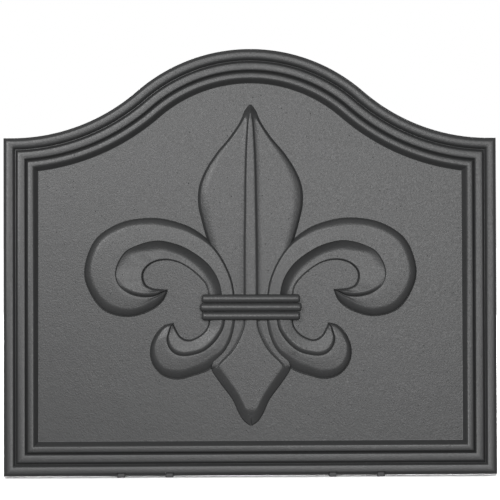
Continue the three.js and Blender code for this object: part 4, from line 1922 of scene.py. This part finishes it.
@dataclass(frozen=True)
class Studio:
    """Floor, lights, backdrop and camera.

    Attributes:
        lights: The soft boxes.
        floor_half: Half the side of the floor, in metres.
        backdrop: Brightness of the backdrop as the camera sees it.
        fill: Brightness of the room as the object sees it.
        floor_glow: Strength of the light that falls on the floor alone.
        floor_spread: Width of that light's source as the floor sees it, in degrees.
        camera_place: Camera, in metres.
        camera_turn: Pitch, roll and yaw from level and straight ahead, in degrees.
        sensor: Width of its sensor.
        lens: Its focal length.
    """

    lights: tuple[SoftBox, ...] = (
        SoftBox("key_light", (0.36, -2.3, 0.50), (0.0, 0.0, 0.22), (1.0, 1.1), 26.4),
        SoftBox("side_light", (-0.9, -2.1, 1.05), (0.0, 0.0, 0.22), (0.8, 0.8), 36.0),
        SoftBox("back_light", (0.2, 2.4, 1.2), (0.0, 0.0, 0.2), (2.4, 1.2), 75.0),
    )
    floor_half: float = 12.0
    backdrop: float = 1.0
    fill: float = 0.28
    floor_glow: float = 3.6
    floor_spread: float = 60.0
    camera_place: Place = (-0.040, -1.8, 0.269)
    camera_turn: Place = (-1.17, 0.12, -1.29)
    sensor: float = 36.0
    lens: float = 122.2

    def lay_floor(self) -> None:
        """Lays the floor, which the object neither mirrors nor takes light from, and lights it."""
        bm = bmesh.new()
        bmesh.ops.create_grid(bm, x_segments=1, y_segments=1, size=self.floor_half)
        mesh = bpy.data.meshes.new("floor")
        bm.to_mesh(mesh)
        bm.free()
        mesh.materials.append(StudioFloor().material())
        floor = bpy.data.objects.new("floor", mesh)
        bpy.context.scene.collection.objects.link(floor)
        floor.visible_diffuse = False
        floor.visible_glossy = False
        lit = bpy.data.collections.new("lit_floor")
        lit.objects.link(floor)
        light = bpy.data.lights.new("floor_light", "SUN")
        light.energy, light.angle = self.floor_glow, math.radians(self.floor_spread)
        lamp = bpy.data.objects.new("floor_light", light)
        lamp.light_linking.receiver_collection = lit
        bpy.context.scene.collection.objects.link(lamp)

    def light_room(self) -> None:
        """Sets the backdrop's and the room's brightness."""
        world = bpy.data.worlds.new("studio")
        world.use_nodes = True
        tree = world.node_tree
        tree.nodes.clear()
        seen, room = (tree.nodes.new("ShaderNodeBackground") for _ in range(2))
        seen.inputs["Strength"].default_value = self.backdrop
        room.inputs["Strength"].default_value = self.fill
        for node in (seen, room):
            node.inputs["Color"].default_value = (1.0, 1.0, 1.0, 1.0)
        rays, mix = tree.nodes.new("ShaderNodeLightPath"), tree.nodes.new("ShaderNodeMixShader")
        output = tree.nodes.new("ShaderNodeOutputWorld")
        tree.links.new(rays.outputs["Is Camera Ray"], mix.inputs["Fac"])
        tree.links.new(room.outputs["Background"], mix.inputs[1])
        tree.links.new(seen.outputs["Background"], mix.inputs[2])
        tree.links.new(mix.outputs["Shader"], output.inputs["Surface"])
        bpy.context.scene.world = world

    def set_camera(self) -> None:
        """Sets the camera at the photograph's viewpoint."""
        data = bpy.data.cameras.new("camera")
        data.sensor_width, data.lens = self.sensor, self.lens
        camera = bpy.data.objects.new("camera", data)
        pitch, roll, yaw = (math.radians(angle) for angle in self.camera_turn)
        camera.location = self.camera_place
        camera.rotation_euler = (math.pi / 2.0 + pitch, roll, yaw)
        bpy.context.scene.collection.objects.link(camera)
        bpy.context.scene.camera = camera

    def build(self) -> None:
        """Sets up the whole studio."""
        self.lay_floor()
        self.light_room()
        for light in self.lights:
            light.hang()
        self.set_camera()
        bpy.context.scene.view_settings.view_transform = "Standard"
        LOG.info("studio: %d lights", len(self.lights))


# ---------------------------------------------------------------- assembly


# The finish of each material slot.
FINISHES: dict[str, PaintedCasting | FastenerSteel] = {
    # The plate's hollow and crest paints differ as painted shade in the hollows and a painted
    # highlight with wear on the crests.
    "casting": PaintedCasting(
        "stove_paint_on_plate",
        hollow=(0.028, 0.0285, 0.029),
        crest=(0.032, 0.0325, 0.033),
        sheen=(0.33, 0.49),
        grain=1.6,
        grain_depth=0.22,
        swell=0.25,
    ),
    "foot_casting": PaintedCasting(
        "stove_paint_on_feet",
        hollow=(0.034, 0.034, 0.035),
        crest=(0.046, 0.046, 0.047),
        sheen=(0.5, 0.64),
        grain=1.1,
        grain_depth=0.16,
        swell=0.4,
    ),
    "bolt_steel": FastenerSteel(
        "blackened_bolt_steel",
        bright=(0.16, 0.16, 0.165),
        dull=(0.05, 0.05, 0.052),
        sheen=(0.34, 0.52),
        metallic=0.8,
    ),
    "washer_steel": FastenerSteel(
        "dull_zinc_plate",
        bright=(0.5, 0.5, 0.51),
        dull=(0.28, 0.28, 0.29),
        sheen=(0.36, 0.55),
        metallic=0.9,
    ),
    "spring_steel": FastenerSteel(
        "oiled_spring_steel",
        bright=(0.2, 0.19, 0.18),
        dull=(0.09, 0.085, 0.08),
        sheen=(0.3, 0.45),
        metallic=0.9,
    ),
}


def main() -> None:
    """Builds the fireback and its studio."""
    logging.basicConfig(level=logging.INFO, format="%(name)s: %(message)s")
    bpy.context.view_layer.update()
    shop = Workshop(Stance())
    finishes = {slot: finish.material() for slot, finish in FINISHES.items()}
    PlateCasting().build(shop, finishes["casting"])
    FleurDeLis().build(shop, finishes["casting"])
    for side in Side:
        SupportFoot(side).build(shop, finishes["foot_casting"])
        for level in Level:
            BoltedJoint(side, level).build(shop, finishes)
    Studio().build()
    LOG.info("%d pieces on %d CAD nodes", len(shop.made), len(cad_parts))


if __name__ == "__main__":
    main()
